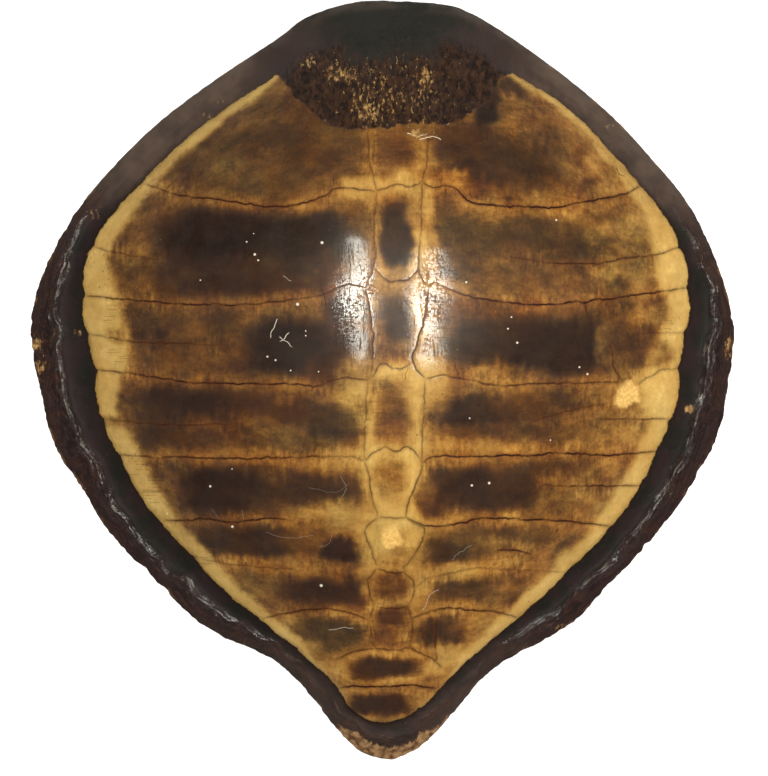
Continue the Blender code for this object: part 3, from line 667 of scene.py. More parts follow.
def top_height(plan, seam_gap, seam_ink, nuchal, patch):
    """Height of the upper surface."""
    points = plan.points
    dome = plan.dome() - OVERHANG_FALL * np.maximum(plan.radius - plan.plates, 0)
    dome += DOME_SWELL * waves(points, 40, 51)
    dome -= GROOVE_DEPTH * seam_ink * bell(seam_gap, GROOVE_HALF_WIDTH)
    dome += NECK_PLATE_RISE * smooth_step(-2.5, 2.5, nuchal)
    rough_zone = smooth_step(0, 6, nuchal) * smooth_step(62, 40, nuchal)
    dome += NECK_PLATE_GRAIN * rough_zone * waves(points * (1, 0.45), 3.4, 53)
    dome -= PATCH_DEPTH * patch
    inwards = np.clip(1 + plan.past_plates / PLATE_ROUNDING, 0, 1)
    step = PLATE_STEP * (1 - 0.97 * plan.facing_front)
    plates = dome - step * (1 - np.sqrt(1 - inwards**2))

    line, share = plan.rim_line()
    line += (PLATE_STEP - step) * (1 - share)
    sag = np.sin(np.clip(share * 1.9, 0, 1) * math.pi)
    valley = VALLEY_DEPTH * sag * (0.35 + 0.65 * plan.crest_strength) * (1 - plan.facing_front)
    outer = 1.6 * np.sin(np.clip((share - 0.45) / 0.55, 0, 1) * math.pi)
    outer *= 1 - 0.6 * plan.facing_front
    rim = line - valley + outer + crest_relief(plan) * smooth_step(0, 3, plan.past_plates)
    roughness = 0.05 + 0.22 * plan.crest_strength * smooth_step(0.5, 0.75, share)
    rim += roughness * waves(points, 7, 54)
    height = np.where(plan.past_plates < 0, plates, rim)

    lip = np.clip(plan.from_edge / ROUNDING, 0, 1)
    return plan.edge_middle + (height - plan.edge_middle) * np.sqrt(1 - (1 - lip) ** 2)


def backbone_and_ribs(plan):
    """How far the backbone and the ribs stand down from the lower surface."""
    x, y = plan.points.T
    joints = 1 + JOINT_SWELL * np.cos(TURN * (y - JOINT_Y) / VERTEBRA)
    backbone = BACKBONE_DEPTH * joints * bell(x - BACKBONE_X, BACKBONE_HALF_WIDTH * 0.8)
    ribs = 0
    run = np.abs(x - BACKBONE_X) / RIB_REACH
    for seat in RIB_SEATS:
        line = seat + RIB_FAN * run * (seat - 40) - RIB_SWEEP * run**2
        width = RIB_HALF_WIDTH * (1 + run / 3)
        ribs = ribs + RIB_DEPTH * bell(y - line, width) * smooth_step(0.03, 0.2, run)
    return (backbone + ribs) * smooth_step(0, 1, (0.97 - plan.radius / plan.plates) / 0.3)


def under_height(plan, relief):
    """Height of the lower surface."""
    share = np.clip(plan.radius / plan.plates, 0, 1)
    thickness = SHELL_THICKNESS + (RIM_THICKNESS - SHELL_THICKNESS) * share**6
    dome = plan.dome() - thickness - relief - 0.25 * waves(plan.points, 12, 61)
    inner = np.maximum(dome, plan.low + UNDER_CLEARANCE)
    from_plates = plan.radius - (plan.plates - UNDER_INSET)
    across_rim = np.clip(from_plates / (plan.rim - REST_WIDTH + 0.5), 0, 1)
    height = inner + (plan.low - inner) * across_rim
    rounding = np.clip(1 - plan.from_edge / EDGE_ROUNDING, 0, 1)
    return height + EDGE_THICKNESS / 2 * rounding**2


# --- Meshing ---


def hex_grid(spacing):
    xs = np.arange(cad_low.x / MM, cad_high.x / MM, spacing)
    ys = np.arange(cad_low.y / MM, cad_high.y / MM, spacing * math.sqrt(3) / 2)
    grid_x, grid_y = np.meshgrid(xs, ys)
    grid_x[::2] += spacing / 2
    return np.column_stack([grid_x.ravel(), grid_y.ravel()])


def rows_beside(line, offsets, closed=False):
    across = normals_of(line, closed)
    return np.vstack([line + across * offset for offset in offsets])


def clear_of(kept, fill, distance):
    """The points of the fill that lie further than this from all the kept ones."""
    gap, _ = nearest(kept, fill)
    return fill[gap > distance]


def speck_points():
    """A middle and two rings of six for each white speck."""
    turns = np.linspace(0, TURN, 7)[:-1]
    circle = np.column_stack([np.cos(turns), np.sin(turns)])
    points = []
    for x, y, radius in SPECKS:
        for share in SPECK_RINGS:
            points.append((circle * share * radius)[:6 if share else 1] + (x, y))
    return points


def top_guides():
    """Points of the upper surface: along every line, then a fill in between."""
    kept = [rows_beside(EDGE, EDGE_ROWS, closed=True)]
    kept.append(rows_beside(PLATES[::2], PLATE_ROWS, closed=True))
    kept.append(rows_beside(NUCHAL, NUCHAL_ROWS))
    kept += [rows_beside(line, SCRATCH_AND_GLINT_ROWS) for _, line in SCRATCH_AND_GLINT_LINES]
    kept += speck_points()
    for row in SEAM_ROWS:
        beside = np.vstack([rows_beside(line, (-row, row)) for _, _, line in LINES])
        kept.append(clear_of(SEAM_POINTS, beside, row * SEAM_ROW_CLEARANCE))
    kept.append(SEAM_POINTS)
    kept = np.vstack(kept)
    kept = kept[Plan(kept).from_edge > KEPT_FROM_EDGE]
    rim_fill = hex_grid(RIM_SPACING)
    plan = Plan(rim_fill)
    rim_fill = rim_fill[(plan.from_edge > RIM_FILL_FROM_EDGE)
                        & (plan.past_plates > RIM_FILL_PAST_PLATES)]
    plate_fill = hex_grid(PLATE_SPACING)
    plate_fill = plate_fill[Plan(plate_fill).past_plates < PLATE_FILL_PAST_PLATES]
    plate_fill = clear_of(kept, plate_fill, PLATE_SPACING * PLATE_CLEARANCE)
    rim_fill = clear_of(kept, rim_fill, RIM_SPACING * RIM_CLEARANCE)
    return np.vstack([kept, rim_fill, plate_fill])


def under_guides():
    rows = rows_beside(EDGE, UNDER_EDGE_ROWS, closed=True)
    wide_rows = rows_beside(EDGE[::3], UNDER_WIDE_ROWS, closed=True)
    fill = hex_grid(UNDER_SPACING)
    return np.vstack([rows, wide_rows, fill[Plan(fill).from_edge > UNDER_FILL_FROM_EDGE]])


def triangulate(inside):
    """Triangles of the plan inside the outer edge: (points, faces, number along the edge)."""
    count = len(EDGE)
    points = [Vector(p) for p in np.vstack([EDGE, inside])]
    loop = [(i, (i + 1) % count) for i in range(count)]
    found = delaunay_2d_cdt(points, loop, [], 1, 1e-4)
    plan_points = np.array([tuple(p) for p in found[0]])
    faces = np.array(found[2])
    on_edge = np.array([min(sources, default=count) for sources in found[3]])
    on_edge[on_edge >= count] = -1
    a, b, c = (plan_points[faces[:, k]] for k in range(3))
    turn = (b[:, 0] - a[:, 0]) * (c[:, 1] - a[:, 1]) - (b[:, 1] - a[:, 1]) * (c[:, 0] - a[:, 0])
    faces[turn < 0] = faces[turn < 0][:, ::-1]
    return plan_points, faces, on_edge


# --- Paint: numbers carried by the mesh's corners ---


def paint_stains(points, stains, tone, warmth, drift=1.0):
    """Lays each stain over what is there, with an edge that wanders by the drift."""
    drift_x = drift * (2.6 * waves(points, 22, 71) + 1.8 * waves(points, 7, 72))
    drift_y = drift * (1.7 * waves(points, 16, 73) + 1.4 * waves(points * (1.6, 0.5), 5, 74))
    x, y = points[:, 0] + drift_x, points[:, 1] + drift_y
    for cx, cy, half_x, half_y, to_tone, to_warmth, soft, opacity in stains:
        reach = np.sqrt(np.abs((x - cx) / half_x) ** 2.6 + np.abs((y - cy) / half_y) ** 2.6)
        cover = opacity * smooth_step(1 + 1.2 * soft, 1 - soft, reach)
        tone += (to_tone - tone) * cover
        warmth += (to_warmth - warmth) * cover


def seam_fields(points):
    """Distance to the nearest seam, its darkness, and how golden the bone is beside it."""
    ink = np.concatenate([
        strength * (0.35 + 0.65 * np.sin(np.linspace(0, math.pi, len(line))) ** 0.35)
        for strength, _, line in LINES])
    gold = np.concatenate([np.full(len(line), border) for _, border, line in LINES])
    fine = [np.vstack([line[:-1] * (1 - k) + line[1:] * k for _, _, line in LINES])
            for k in (0.0, 0.25, 0.5, 0.75)]
    starts = []
    first = 0
    for _, _, line in LINES:
        starts.append(np.arange(len(line) - 1) + first)
        first += len(line)
    gap, number = nearest(np.vstack(fine + [SEAM_POINTS]), points)
    owners = np.concatenate([np.tile(np.concatenate(starts), 4), np.arange(len(SEAM_POINTS))])
    return gap, ink[owners[number]], gold[owners[number]]


def scratch_and_glint_field(points):
    """How pale a scratch, a painted glint or a speck makes the point, or how dark if negative."""
    every = np.vstack([line for _, line in SCRATCH_AND_GLINT_LINES])
    pale = np.concatenate([np.full(len(line), pale) for pale, line in SCRATCH_AND_GLINT_LINES])
    gap, number = nearest(every, points)
    mark = pale[number] * smooth_step(0.65, 0.1, gap)
    for x, y, radius in SPECKS:
        away = np.hypot(points[:, 0] - x, points[:, 1] - y)
        speck = smooth_step(radius * 1.2, radius * 0.4, away)
        mark = np.where(speck > 0, np.maximum(mark, speck), mark)
    return mark


def worn_and_glint_field(points):
    """How close the point is to the middle of each worn place and of the painted glint, from 0 to
    its strength.
    """
    closeness = np.zeros(len(points))
    for x, y, half_x, half_y, strength in WORN_AND_GLINTS:
        reach = np.hypot((points[:, 0] - x) / half_x, (points[:, 1] - y) / half_y)
        closeness = np.maximum(closeness, strength * np.clip(1.4 - 0.7 * reach, 0, 1))
    return closeness


def lip_depth(points):
    """Millimetres past the inner edge of the tail's lip, negative inside it."""
    line = curve_through(TAIL_LIP, 2.0)
    inner = np.interp(points[:, 0], line[:, 0], line[:, 1], left=-FAR, right=-FAR)
    return np.clip(inner - points[:, 1], -20, 20)


def nuchal_depth(points):
    """Millimetres inside the dark plate behind the neck, negative outside it."""
    gap, _ = nearest(NUCHAL, points)
    lower = np.interp(points[:, 0], NUCHAL[:, 0], NUCHAL[:, 1], left=FAR, right=FAR)
    return np.where(points[:, 1] > lower, gap, -gap)


def patch_cover(points):
    """How much of the surface is lost, from 0 to 1."""
    cover = np.zeros(len(points))
    x = points[:, 0] + 1.2 * waves(points, 7, 81)
    y = points[:, 1] + 1.2 * waves(points, 7, 82)
    for cx, cy, half_x, half_y in GOLD_PATCHES:
        u, v = (x - cx) / half_x, (y - cy) / half_y
        reach = (np.abs(u + 0.15 * v) ** 3.5 + np.abs(v - 0.2 * u) ** 3.5) ** (1 / 3.5)
        cover = np.maximum(cover, smooth_step(1.12, 0.88, reach))
    return cover


def stain_fields(plan, seam_gap, seam_gold):
    """Tone and warmth: ground, stains, cream border with painted shade on its left, golden seams,
    then the backbone.
    """
    points = plan.points
    tone = np.full(len(points), GROUND_TONE)
    warmth = np.full(len(points), GROUND_WARMTH)
    paint_stains(points, STAINS, tone, warmth)
    border = around(BORDER_WIDTHS, plan.angle)
    inside = -plan.past_plates + 0.8 * waves(points, 12, 75)
    cream = smooth_step(border * 1.15 + 3, border * 0.8 - 1, inside) * smooth_step(0, 3, border)
    # The cream is a little darker on the left: painted shade, as the left slope gets less light. It
    # is also more olive there.
    left = smooth_step(30, -60, points[:, 0])
    upper_right = smooth_step(110, 180, points[:, 1]) * smooth_step(0, 60, points[:, 0])
    tone += (CREAM_TONE - 0.03 * left - 0.08 * upper_right - tone) * cream
    warmth += (CREAM_WARMTH * (1 - left) - warmth) * cream
    halo = seam_gold * bell(seam_gap, 7.5) * (0.8 + 0.2 * waves(points, 14, 76))
    halo = np.clip(halo * (1 - cream), 0, 1)
    tone += (np.maximum(tone, 0.60) - tone) * halo * 0.85
    warmth += (0.85 - warmth) * halo * 0.6
    paint_stains(points, BACKBONE_STAINS, tone, warmth, drift=0.45)
    return np.clip(tone, 0, 1), np.clip(warmth, 0, 1)


def add_fields(mesh, fields, total):
    """Numbers for each corner of the mesh. The lower surface's are 0 where none are given."""
    for name, values in fields.items():
        full = np.zeros(total, np.float32)
        full[:len(values)] = values
        mesh.attributes.new(name, "FLOAT", "POINT").data.foreach_set("value", full)


def joined_corners(top_edge, under_edge):
    """For each point of the lower plan, its corner in the mesh. The outer edge is shared."""
    on_edge = np.flatnonzero(top_edge >= 0)
    edge_corner = np.zeros(len(EDGE), int)
    edge_corner[top_edge[on_edge]] = on_edge
    own = under_edge < 0
    corner_of = np.empty(len(under_edge), int)
    corner_of[own] = len(top_edge) + np.arange(own.sum())
    corner_of[~own] = edge_corner[under_edge[~own]]
    return corner_of


def mesh_of(corners, faces, top_count):
    """The closed mesh. Faces from this number on are the underside's."""
    mesh = bpy.data.meshes.new("carapace_bone")
    mesh.from_pydata((corners * MM).tolist(), [], faces.tolist())
    mesh.materials.append(varnished_top())
    mesh.materials.append(underside_bone())
    material = (np.arange(len(faces)) >= top_count).astype(np.int32)
    mesh.polygons.foreach_set("material_index", material)
    mesh.validate()
    mesh.shade_smooth()
    return mesh


def build_shell():
    """One closed mesh: the upper surface and the lower one share the outer edge's points."""
    top, top_faces, top_edge = triangulate(top_guides())
    under, under_faces, under_edge = triangulate(under_guides())
    plan = Plan(top)
    seam_gap, seam_ink, seam_gold = seam_fields(top)
    nuchal = nuchal_depth(top)
    patch = patch_cover(top)
    heights = top_height(plan, seam_gap, seam_ink, nuchal, patch)
    heights = np.where(top_edge >= 0, plan.edge_middle, heights)

    under_plan = Plan(under[under_edge < 0])
    relief = backbone_and_ribs(under_plan)
    corners = np.vstack([
        np.column_stack([top, heights]),
        np.column_stack([under_plan.points, under_height(under_plan, relief)])])
    corner_of = joined_corners(top_edge, under_edge)
    faces = np.vstack([top_faces, corner_of[under_faces][:, ::-1]])
    mesh = mesh_of(corners, faces, len(top_faces))

    tone, warmth = stain_fields(plan, seam_gap, seam_gold)
    add_fields(mesh, {
        "tone": tone, "warmth": warmth, "seam_gap": np.minimum(seam_gap, 20),
        "seam_ink": seam_ink, "past_plates": plan.past_plates, "past_crest": plan.past_crest,
        "crest_strength": plan.crest_strength, "from_edge": plan.from_edge, "nuchal": nuchal,
        "patch": patch, "front": plan.facing_front, "mark": scratch_and_glint_field(top),
        "worn": worn_and_glint_field(top), "lip": lip_depth(top),
        "relief": np.concatenate([np.zeros(len(top)), relief])}, len(corners))
    shell = bpy.data.objects.new("carapace_bone", mesh)
    bpy.context.scene.collection.objects.link(shell)
    return shell


# --- Materials ---


def colour(red, green, blue):
    """A colour given in display values from 0 to 255, as the shader's linear one."""
    share = np.array((red, green, blue)) / 255
    linear = np.where(share <= 0.04045, share / 12.92, ((share + 0.055) / 1.055) ** 2.4)
    return (*linear.tolist(), 1)


class Value:
    """A number in a material. Sums and products with such numbers add nodes to it."""

    def __init__(self, shader, socket):
        self.shader = shader
        self.socket = socket

    def __add__(self, other):
        return self.shader.math("ADD", self, other)

    def __sub__(self, other):
        return self.shader.math("SUBTRACT", self, other)

    def __rsub__(self, other):
        return self.shader.math("SUBTRACT", other, self)

    def __mul__(self, other):
        return self.shader.math("MULTIPLY", self, other)

    def __abs__(self):
        return self.shader.math("ABSOLUTE", self)

    def clamped(self):
        return self.shader.math("ADD", self, 0.0, clamp=True)

    def or_more(self, other):
        return self.shader.math("MAXIMUM", self, other)


class Shader:
    """A material's nodes, with a short call for each kind used here."""

    def __init__(self, name):
        self.material = bpy.data.materials.new(name)
        self.material.use_nodes = True
        self.tree = self.material.node_tree
        self.surface = self.tree.nodes["Principled BSDF"].inputs
        self.place = self.node("TexCoord").outputs["Object"]
        self.seed = 0

    def node(self, kind):
        return self.tree.nodes.new("ShaderNode" + kind)

    def link(self, value, socket):
        if isinstance(value, Value):
            value = value.socket
        if isinstance(value, bpy.types.NodeSocket):
            self.tree.links.new(value, socket)
        else:
            socket.default_value = value

    def link_all(self, values, sockets):
        for value, socket in zip(values, sockets):
            self.link(value, socket)

    def set(self, name, value):
        """Gives the surface this value or colour."""
        self.link(value, self.surface[name])

    def field(self, name):
        """A number that the mesh's corners carry."""
        node = self.node("Attribute")
        node.attribute_name = name
        return Value(self, node.outputs["Fac"])

    def math(self, operation, a, b=0.0, clamp=False):
        node = self.node("Math")
        node.operation = operation
        node.use_clamp = clamp
        self.link_all((a, b), node.inputs)
        return Value(self, node.outputs[0])

    def vector(self, operation, a, b=(0, 0, 0), c=(0, 0, 0)):
        node = self.node("VectorMath")
        node.operation = operation
        self.link_all((a, b, c), node.inputs)
        return node.outputs[0]

    def band(self, value, low, high, to_low=0.0, to_high=1.0):
        """Rises smoothly from to_low to to_high as the value goes from low to high."""
        node = self.node("MapRange")
        node.interpolation_type = "SMOOTHSTEP"
        self.link_all((value, low, high, to_low, to_high), node.inputs)
        return Value(self, node.outputs[0])

    def round_the_rim(self):
        """A place that runs along the rim in x and y, and across its crest in z."""
        flat = self.vector("SUBTRACT", self.place, (*APEX * MM, 0))
        flat = self.vector("MULTIPLY", flat, (1, 1, 0))
        on_ring = self.vector("MULTIPLY", self.vector("NORMALIZE", flat), [RIM_RADIUS * MM] * 3)
        across = self.vector("MULTIPLY", self.field("past_crest"), (0, 0, MM))
        return self.vector("ADD", on_ring, across)

    def lumps(self, size, stretch, place):
        """The place, measured in lumps of this size, and moved for each use."""
        self.seed += 1
        return self.vector("MULTIPLY_ADD", place or self.place,
                           [1 / (size * MM * s) for s in stretch],
                           [self.seed * step for step in NOISE_STEP])

    def noise(self, size, stretch=(1, 1, 1), detail=2.0, rough=0.5, place=None):
        """Noise from 0 to 1 with lumps of this size in millimetres, drawn out by the stretch."""
        node = self.node("TexNoise")
        self.link(self.lumps(size, stretch, place), node.inputs["Vector"])
        node.inputs["Scale"].default_value = 1.0
        node.inputs["Detail"].default_value = detail
        node.inputs["Roughness"].default_value = rough
        return Value(self, node.outputs["Fac"])

    def cells(self, size):
        """Distance from the nearest of many scattered points."""
        node = self.node("TexVoronoi")
        self.link(self.lumps(size, (1, 1, 1), None), node.inputs["Vector"])
        node.inputs["Scale"].default_value = 1.0
        return Value(self, node.outputs["Distance"])

    def sway(self, noise, amount):
        """The noise as a number that swings by about the amount on both sides of 0."""
        return (noise - 0.5) * (amount * 2)

    def ramp(self, value, stops):
        node = self.node("ValToRGB")
        self.link(value, node.inputs[0])
        elements = node.color_ramp.elements
        while len(elements) < len(stops):
            elements.new(0.5)
        for element, (place, shade) in zip(elements, stops):
            element.position = place
            element.color = colour(*shade)
        return node.outputs["Color"]

    def mix(self, share, a, b):
        """Colour a, with this share of colour b. Each is a socket or (red, green, blue)."""
        node = self.node("Mix")
        node.data_type = "RGBA"
        shades = [colour(*shade) if isinstance(shade, tuple) else shade for shade in (a, b)]
        self.link(share, node.inputs[0])
        self.link_all(shades, node.inputs[6:8])
        return node.outputs[2]

    def bump(self, height, distance, under=None):
        """Relief of this depth in millimetres."""
        node = self.node("Bump")
        node.inputs["Distance"].default_value = distance * MM
        self.link(height, node.inputs["Height"])
        if under is not None:
            self.link(under, node.inputs["Normal"])
        return node.outputs["Normal"]


OLIVE_BROWNS = [
    (0, (26, 18, 13)), (0.12, (42, 31, 22)), (0.25, (60, 45, 27)), (0.38, (87, 65, 33)),
    (0.5, (117, 88, 42)), (0.63, (148, 115, 57)), (0.77, (177, 143, 76)),
    (0.88, (193, 160, 91)), (1, (224, 192, 116)),
]
RED_BROWNS = [
    (0, (34, 19, 12)), (0.12, (54, 31, 18)), (0.25, (77, 43, 20)), (0.38, (105, 61, 24)),
    (0.5, (132, 82, 31)), (0.63, (160, 107, 43)), (0.77, (188, 137, 61)),
    (0.88, (206, 160, 80)), (1, (226, 185, 104)),
]
BONE_TANS = [
    (0.2, (104, 76, 49)), (0.42, (142, 110, 74)), (0.6, (170, 139, 99)), (0.8, (196, 168, 126)),
]
RIM_RADIUS = 280  # turns a direction into millimetres along the rim
NOISE_STEP = (7.31, 3.17, 5.71)  # from each use of noise to the next one's place
MOTTLES = ((24, 0.24, 2.2), (8, 0.16, 1.8), (3, 0.10, 1), (1.1, 0.06, 1))  # size, amount, stretch


def stained_ground(shader):
    """The painted tone, mottled, and streaked by fibres beside the seams."""
    field, noise, band, sway = shader.field, shader.noise, shader.band, shader.sway
    tone = field("tone")
    swing = 1.0 - abs(tone * 2.0 - 1.0) + 0.22  # least where the bone is black or cream
    by_seam = band(field("seam_gap"), 16, 3, 0.3, 1.0)
    some_fibres = band(noise(26), 0.35, 0.65, 0.2, 1.0)
    fibres = sway(noise(3, (1, 4, 4), 4, 0.6), 0.30) * (by_seam * some_fibres)
    some_streaks = band(noise(34), 0.45, 0.7)
    change = fibres + sway(noise(2.4, (9, 1, 1)), 0.12) * some_streaks
    for size, amount, stretch in MOTTLES:
        change = change + sway(noise(size, (stretch, 1, 1)), amount)
    tone = (tone + change * swing).clamped()
    warmth = (field("warmth") + sway(noise(26, detail=3), 0.55)).clamped()
    return shader.mix(warmth, shader.ramp(tone, OLIVE_BROWNS), shader.ramp(tone, RED_BROWNS))


def plates_colour(shader):
    """Stained bone, with dots, seams, places where the surface is lost, scratches, and a painted
    glint.
    """
    field, noise, band, mix = shader.field, shader.noise, shader.band, shader.mix
    ground = stained_ground(shader)
    dots = band(shader.cells(7), 0.20, 0.10) * band(noise(30, detail=3), 0.50, 0.58)
    ground = mix(dots * 0.45, ground, (52, 30, 17))

    gap = field("seam_gap") + shader.sway(noise(3), 0.5)
    ink = field("seam_ink") * band(noise(14, detail=4), 0.30, 0.55, 0.55, 1.15)
    ground = mix(band(gap, 3.6, 0.6) * ink * 0.42, ground, (92, 48, 24))
    ground = mix((band(gap, 1.25, 0.35) * ink).clamped(), ground, (44, 22, 12))
    gold = mix(band(noise(3, detail=3, rough=0.7), 0.35, 0.65), (198, 156, 84), (224, 184, 108))
    ground = mix(field("patch"), ground, gold)
    mark = field("mark")
    ground = mix(band(mark, -0.1, -0.9), ground, (38, 22, 14))
    # White specks, pale scratches and the painted glint on the neck plate's step.
    return mix(band(mark, 0.1, 1.0), ground, (226, 218, 196))


def rim_colour(shader, along):
    """Dark old varnish: greenish black in the valley, purple brown and wrinkled outside it. Painted
    sheen lightens it near the outer edge, and painted shade darkens it at the foot of the plates'
    step.
    """
    field, noise, band, mix = shader.field, shader.noise, shader.band, shader.mix
    across = field("past_crest")
    strength = field("crest_strength")
    from_edge = field("from_edge")
    blotches = band(noise(26, detail=4, rough=0.6), 0.35, 0.65)
    wrinkles = noise(1.6, (7, 7, 1), 3, 0.6, along)
    fine = noise(4, detail=4, rough=0.65)
    valley = mix(blotches, (26, 26, 22), (40, 29, 30))
    valley = mix(band(fine, 0.55, 0.8, 0, 0.6), valley, (58, 42, 38))
    outer = mix(blotches, (40, 30, 29), (54, 34, 27))
    outer = mix(band(wrinkles, 0.35, 0.62), outer, (26, 18, 17))
    outer = mix(band(fine, 0.5, 0.75, 0, 0.45), outer, (84, 54, 40))
    base = mix(band(across, -6, 2), valley, outer)
    smooth = mix(blotches, (64, 53, 47), (84, 69, 60))
    base = mix(band(strength, 0.85, 0.1, 0, 0.85), base, smooth)
    # Painted sheen near the rounded outer edge: paler grey where the crest is weak, purple brown
    # where it is strong.
    painted_edge_sheen = band(from_edge, 15, 2, 0, 0.4) * band(noise(20, detail=3), 0.25, 0.6, 0.3, 1)
    base = mix(painted_edge_sheen, base, mix(strength, (100, 88, 76), (58, 40, 38)))
    # Painted shade: darker just past the plates' ends, at the foot of their step, most where the
    # crest is strong.
    painted_step_shade = band(field("past_plates") + shader.sway(fine, 4), 5, 1)
    base = mix(painted_step_shade * band(strength, 0, 0.3, 0.15, 0.65), base, (34, 20, 14))
    worn = band(wrinkles, 0.60, 0.70) * band(abs(across), 5, 1) * strength
    base = mix(worn * 0.5, base, (136, 108, 92))
    thin_edge = band(from_edge, 3, 0.5) * band(noise(14, detail=3), 0.54, 0.7)
    return mix(thin_edge * 0.5, base, (140, 100, 64))


def nuchal_colour(shader):
    """The plate behind the neck: greenish black in front, brown and rough behind, with a painted
    sheen near the outer edge.
    """
    field, noise, band, mix = shader.field, shader.noise, shader.band, shader.mix
    depth = field("nuchal") + shader.sway(noise(12, detail=3), 26)
    smooth = mix(band(depth, 38, 74), (53, 41, 37), (35, 34, 28))
    # Painted sheen: paler grey near the rounded outer edge.
    painted_edge_sheen = band(field("from_edge"), 12, 1, 0, 0.45) * band(noise(24, detail=3), 0.35, 0.65)
    smooth = mix(painted_edge_sheen, smooth, (92, 80, 70))
    grain = noise(4.5, (1, 2, 2), 5, 0.7)
    rough = mix(band(grain, 0.38, 0.68), (27, 18, 14), (66, 43, 27))
    behind = field("past_plates") + shader.sway(grain, 10)
    return mix(band(depth, 66, 44) * band(behind, 2, -12), smooth, rough)


def worn_places_and_glint(shader, shade):
    """Ochre bone where the dark skin has flaked off, in ragged upright flakes; the same ochre also
    paints a glint on the neck plate's step.
    """
    noise, band, mix = shader.noise, shader.band, shader.mix
    grain = noise(3, (1, 2.4, 2.4), 4, 0.75)
    # The worn field also carries the painted glint on the neck plate's step.
    ragged = shader.field("worn") + shader.sway(grain, 1.7)
    tint = mix(band(noise(5, detail=3), 0.35, 0.65), (98, 66, 36), (176, 142, 86))
    shade = mix(band(ragged, 0.62, 1.02, 0, 0.95), shade, tint)
    ragged = shader.field("lip") + shader.sway(grain, 7)
    tint = mix(band(noise(6, detail=3), 0.35, 0.65), (84, 56, 36), (150, 118, 80))
    return mix(band(ragged, -0.8, 1.2), shade, tint)


def varnish_gloss(shader, rim, along):
    """A coat of varnish, pitted, scratched and cut by the seams, with glints on the crest."""
    field, noise, band = shader.field, shader.noise, shader.band
    pits = noise(2.2, (1.2, 1, 1), 3, 0.75)
    pitted = band(noise(26, (1, 1.6, 1), 3), 0.42, 0.60, 0.05, -0.06)
    pits = band(pits - pitted, 0.53, 0.58)
    scratched = band(noise(1.6, (1, 11, 11), 3, 0.6), 0.42, 0.37)
    in_seam = band(field("seam_ink"), 0.0, 0.5) * band(field("seam_gap"), 1.2, 0.5)
    marred = pits.or_more(scratched).or_more(in_seam).or_more(band(field("mark"), -0.1, -0.5))
    shader.set("Roughness", band(noise(30, detail=3), 0.3, 0.7, 0.30, 0.48) + rim * 0.3)
    glints = band(noise(1.9, (3, 3, 1), 3, 0.7, along), 0.43, 0.51)
    glints = glints * band(noise(16, place=along), 0.33, 0.45)
    glints = glints * (band(field("crest_strength"), 0.6, 0.85)
                       * band(abs(field("past_crest") - 1), 6, 3))
    rim = rim * (1.0 - field("front"))
    coat = band(marred, 0, 1, 0.85, 0.04) * (1.0 - rim) + rim * glints
    shader.set("Coat Weight", coat.clamped())
    shader.set("Coat Roughness", 0.12)
    shader.set("Specular IOR Level", 0.10)
    return rim


def varnished_top():
    """The upper surface: plates, neck plate and rim, under varnish."""
    shader = Shader("varnished_top")
    field, noise, band, mix = shader.field, shader.noise, shader.band, shader.mix
    plates = plates_colour(shader)
    nuchal = band(field("nuchal") + shader.sway(noise(5, detail=3), 2.0), -1.2, 1.2)
    neck_plate = nuchal_colour(shader)
    rim = band(field("past_plates") + shader.sway(noise(3, detail=3), 1.3), -0.5, 0.5)
    along = shader.round_the_rim()
    margin = mix(field("front"), rim_colour(shader, along), neck_plate)
    shade = mix(rim, mix(nuchal, plates, neck_plate), margin)
    shader.set("Base Color", worn_places_and_glint(shader, shade))

    rim = varnish_gloss(shader, rim, along)
    scratches = noise(0.7, (1, 9, 9), 3, 0.6)
    wrinkles = noise(1.6, (8, 8, 1), 3, 0.6, along) + noise(1.5, (1.2, 1.2, 3), 2, 0.6, along)
    past_valley = band(field("past_crest"), -8, -3, 0.1, 1)
    wrinkles = wrinkles * (rim * (field("crest_strength") * past_valley))
    rough_plate = noise(2.2, (1, 3, 3), 4, 0.7) * band(field("nuchal"), 60, 30) * nuchal
    normal = shader.bump(noise(6, detail=3), 0.05)
    normal = shader.bump(scratches, 0.03, normal)
    normal = shader.bump(wrinkles, 0.8, normal)
    normal = shader.bump(rough_plate, 0.6, normal)
    shader.set("Normal", normal)
    shader.set("Coat Normal", normal)
    return shader.material


def underside_bone():
    """Unvarnished bone on the inside: tan and porous, with painted shade: darker between the ribs,
    paler on the backbone and the ribs.
    """
    shader = Shader("underside_bone")
    noise, band = shader.noise, shader.band
    tone = noise(40, detail=4, rough=0.6) + shader.sway(noise(3, detail=4, rough=0.7), 0.16)
    # Painted shade: darker between the ribs, paler where the backbone and the ribs stand out.
    tone = tone.clamped() + band(shader.field("relief"), 0, 4, -0.10, 0.12)
    pores = band(shader.cells(2.2), 0.20, 0.08)
    shade = shader.mix(pores * 0.6, shader.ramp(tone, BONE_TANS), (70, 48, 30))
    shader.set("Base Color", shade)
    shader.set("Roughness", 0.62)
    shader.set("Normal", shader.bump(noise(2.5, detail=4, rough=0.65), 0.25))
    return shader.material


# --- Studio ---

CAMERA_HEIGHT = 10.0
VIEW_CENTRE = (0.0013, -0.0070)
VIEW_HEIGHT = 0.6767  # of the plan that the picture's longer side takes in
SENSOR = 36.0
AIM = (0.0, 0.03, 0.1)  # what the lights look at
HIGHLIGHT_COLOUR = (1, 0.99, 0.87)
LIGHT_COLOUR = (1, 0.96, 0.89)
WORLD_STRENGTH = 0.18
# Soft boxes that give the highlights in the varnish: (name, place, size, watts).
HIGHLIGHTS = [
    ("strip_left", (-0.35, 0.22, 2.3), (0.17, 1.34), 19),
    ("core_left", (-0.35, 0.19, 2.3), (0.15, 0.6), 12),
    ("strip_right", (0.545, 0.12, 2.3), (0.28, 1.3), 27),
    ("core_right", (0.545, 0.06, 2.3), (0.24, 0.56), 13),
]
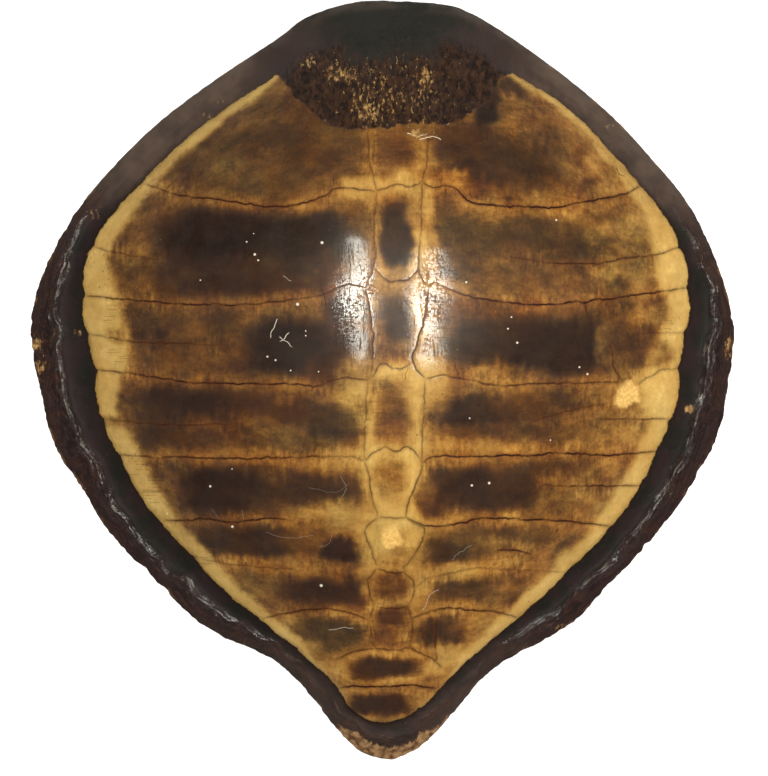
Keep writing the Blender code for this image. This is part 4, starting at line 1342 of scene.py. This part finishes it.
# Soft boxes that give the general light.
LIGHTS = [
    ("top", (0.1, 0.2, 2.6), (1.5, 1.5), 64),
    ("side_right", (2.6, 0.2, 2.2), (1.4, 2.0), 57),
    ("side_left", (-2.6, 0.4, 2.2), (1.4, 2.0), 30),
]
FLOOR_HALF = 4.0
FLOOR_GREY, FLOOR_GLOW = 0.5, 0.75


def make_camera():
    """A camera that looks straight down at the shell."""
    data = bpy.data.cameras.new("camera")
    data.sensor_width = SENSOR
    data.lens = SENSOR * CAMERA_HEIGHT / VIEW_HEIGHT
    data.clip_end = 100
    camera = bpy.data.objects.new("camera", data)
    camera.location = (*VIEW_CENTRE, CAMERA_HEIGHT)
    bpy.context.scene.collection.objects.link(camera)
    bpy.context.scene.camera = camera


def make_light(name, place, size, power, highlight):
    """A soft box that gives either the highlights in the varnish or the general light."""
    data = bpy.data.lights.new(name, "AREA")
    data.shape = "RECTANGLE"
    data.size, data.size_y = size
    data.energy = power
    data.color = HIGHLIGHT_COLOUR if highlight else LIGHT_COLOUR
    light = bpy.data.objects.new(name, data)
    light.location = place
    across, along, up = Vector(place) - Vector(AIM)
    light.rotation_euler = (-math.atan2(along, up), math.atan2(across, up), 0)
    light.visible_glossy = highlight
    light.visible_diffuse = not highlight
    bpy.context.scene.collection.objects.link(light)


def make_studio():
    for row in HIGHLIGHTS:
        make_light(*row, highlight=True)
    for row in LIGHTS:
        make_light(*row, highlight=False)
    world = bpy.data.worlds.new("studio")
    world.use_nodes = True
    background = world.node_tree.nodes["Background"].inputs
    background["Color"].default_value = (1, 1, 1, 1)
    background["Strength"].default_value = WORLD_STRENGTH
    bpy.context.scene.world = world
    bpy.context.scene.view_settings.view_transform = "Standard"


def make_floor():
    """A plain floor that glows faintly, so that it looks evenly pale."""
    mesh = bpy.data.meshes.new("floor")
    half = FLOOR_HALF
    mesh.from_pydata([(-half, -half, 0), (half, -half, 0), (half, half, 0), (-half, half, 0)],
                     [], [(0, 1, 2, 3)])
    shader = Shader("floor")
    shader.set("Base Color", (FLOOR_GREY, FLOOR_GREY, FLOOR_GREY, 1))
    shader.set("Roughness", 0.9)
    shader.set("Emission Color", (1, 1, 1, 1))
    shader.set("Emission Strength", FLOOR_GLOW)
    mesh.materials.append(shader.material)
    floor = bpy.data.objects.new("floor", mesh)
    bpy.context.scene.collection.objects.link(floor)
    floor.visible_glossy = False


make_camera()
shell = build_shell()
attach(shell, "root")
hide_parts(NODE)
make_studio()
make_floor()
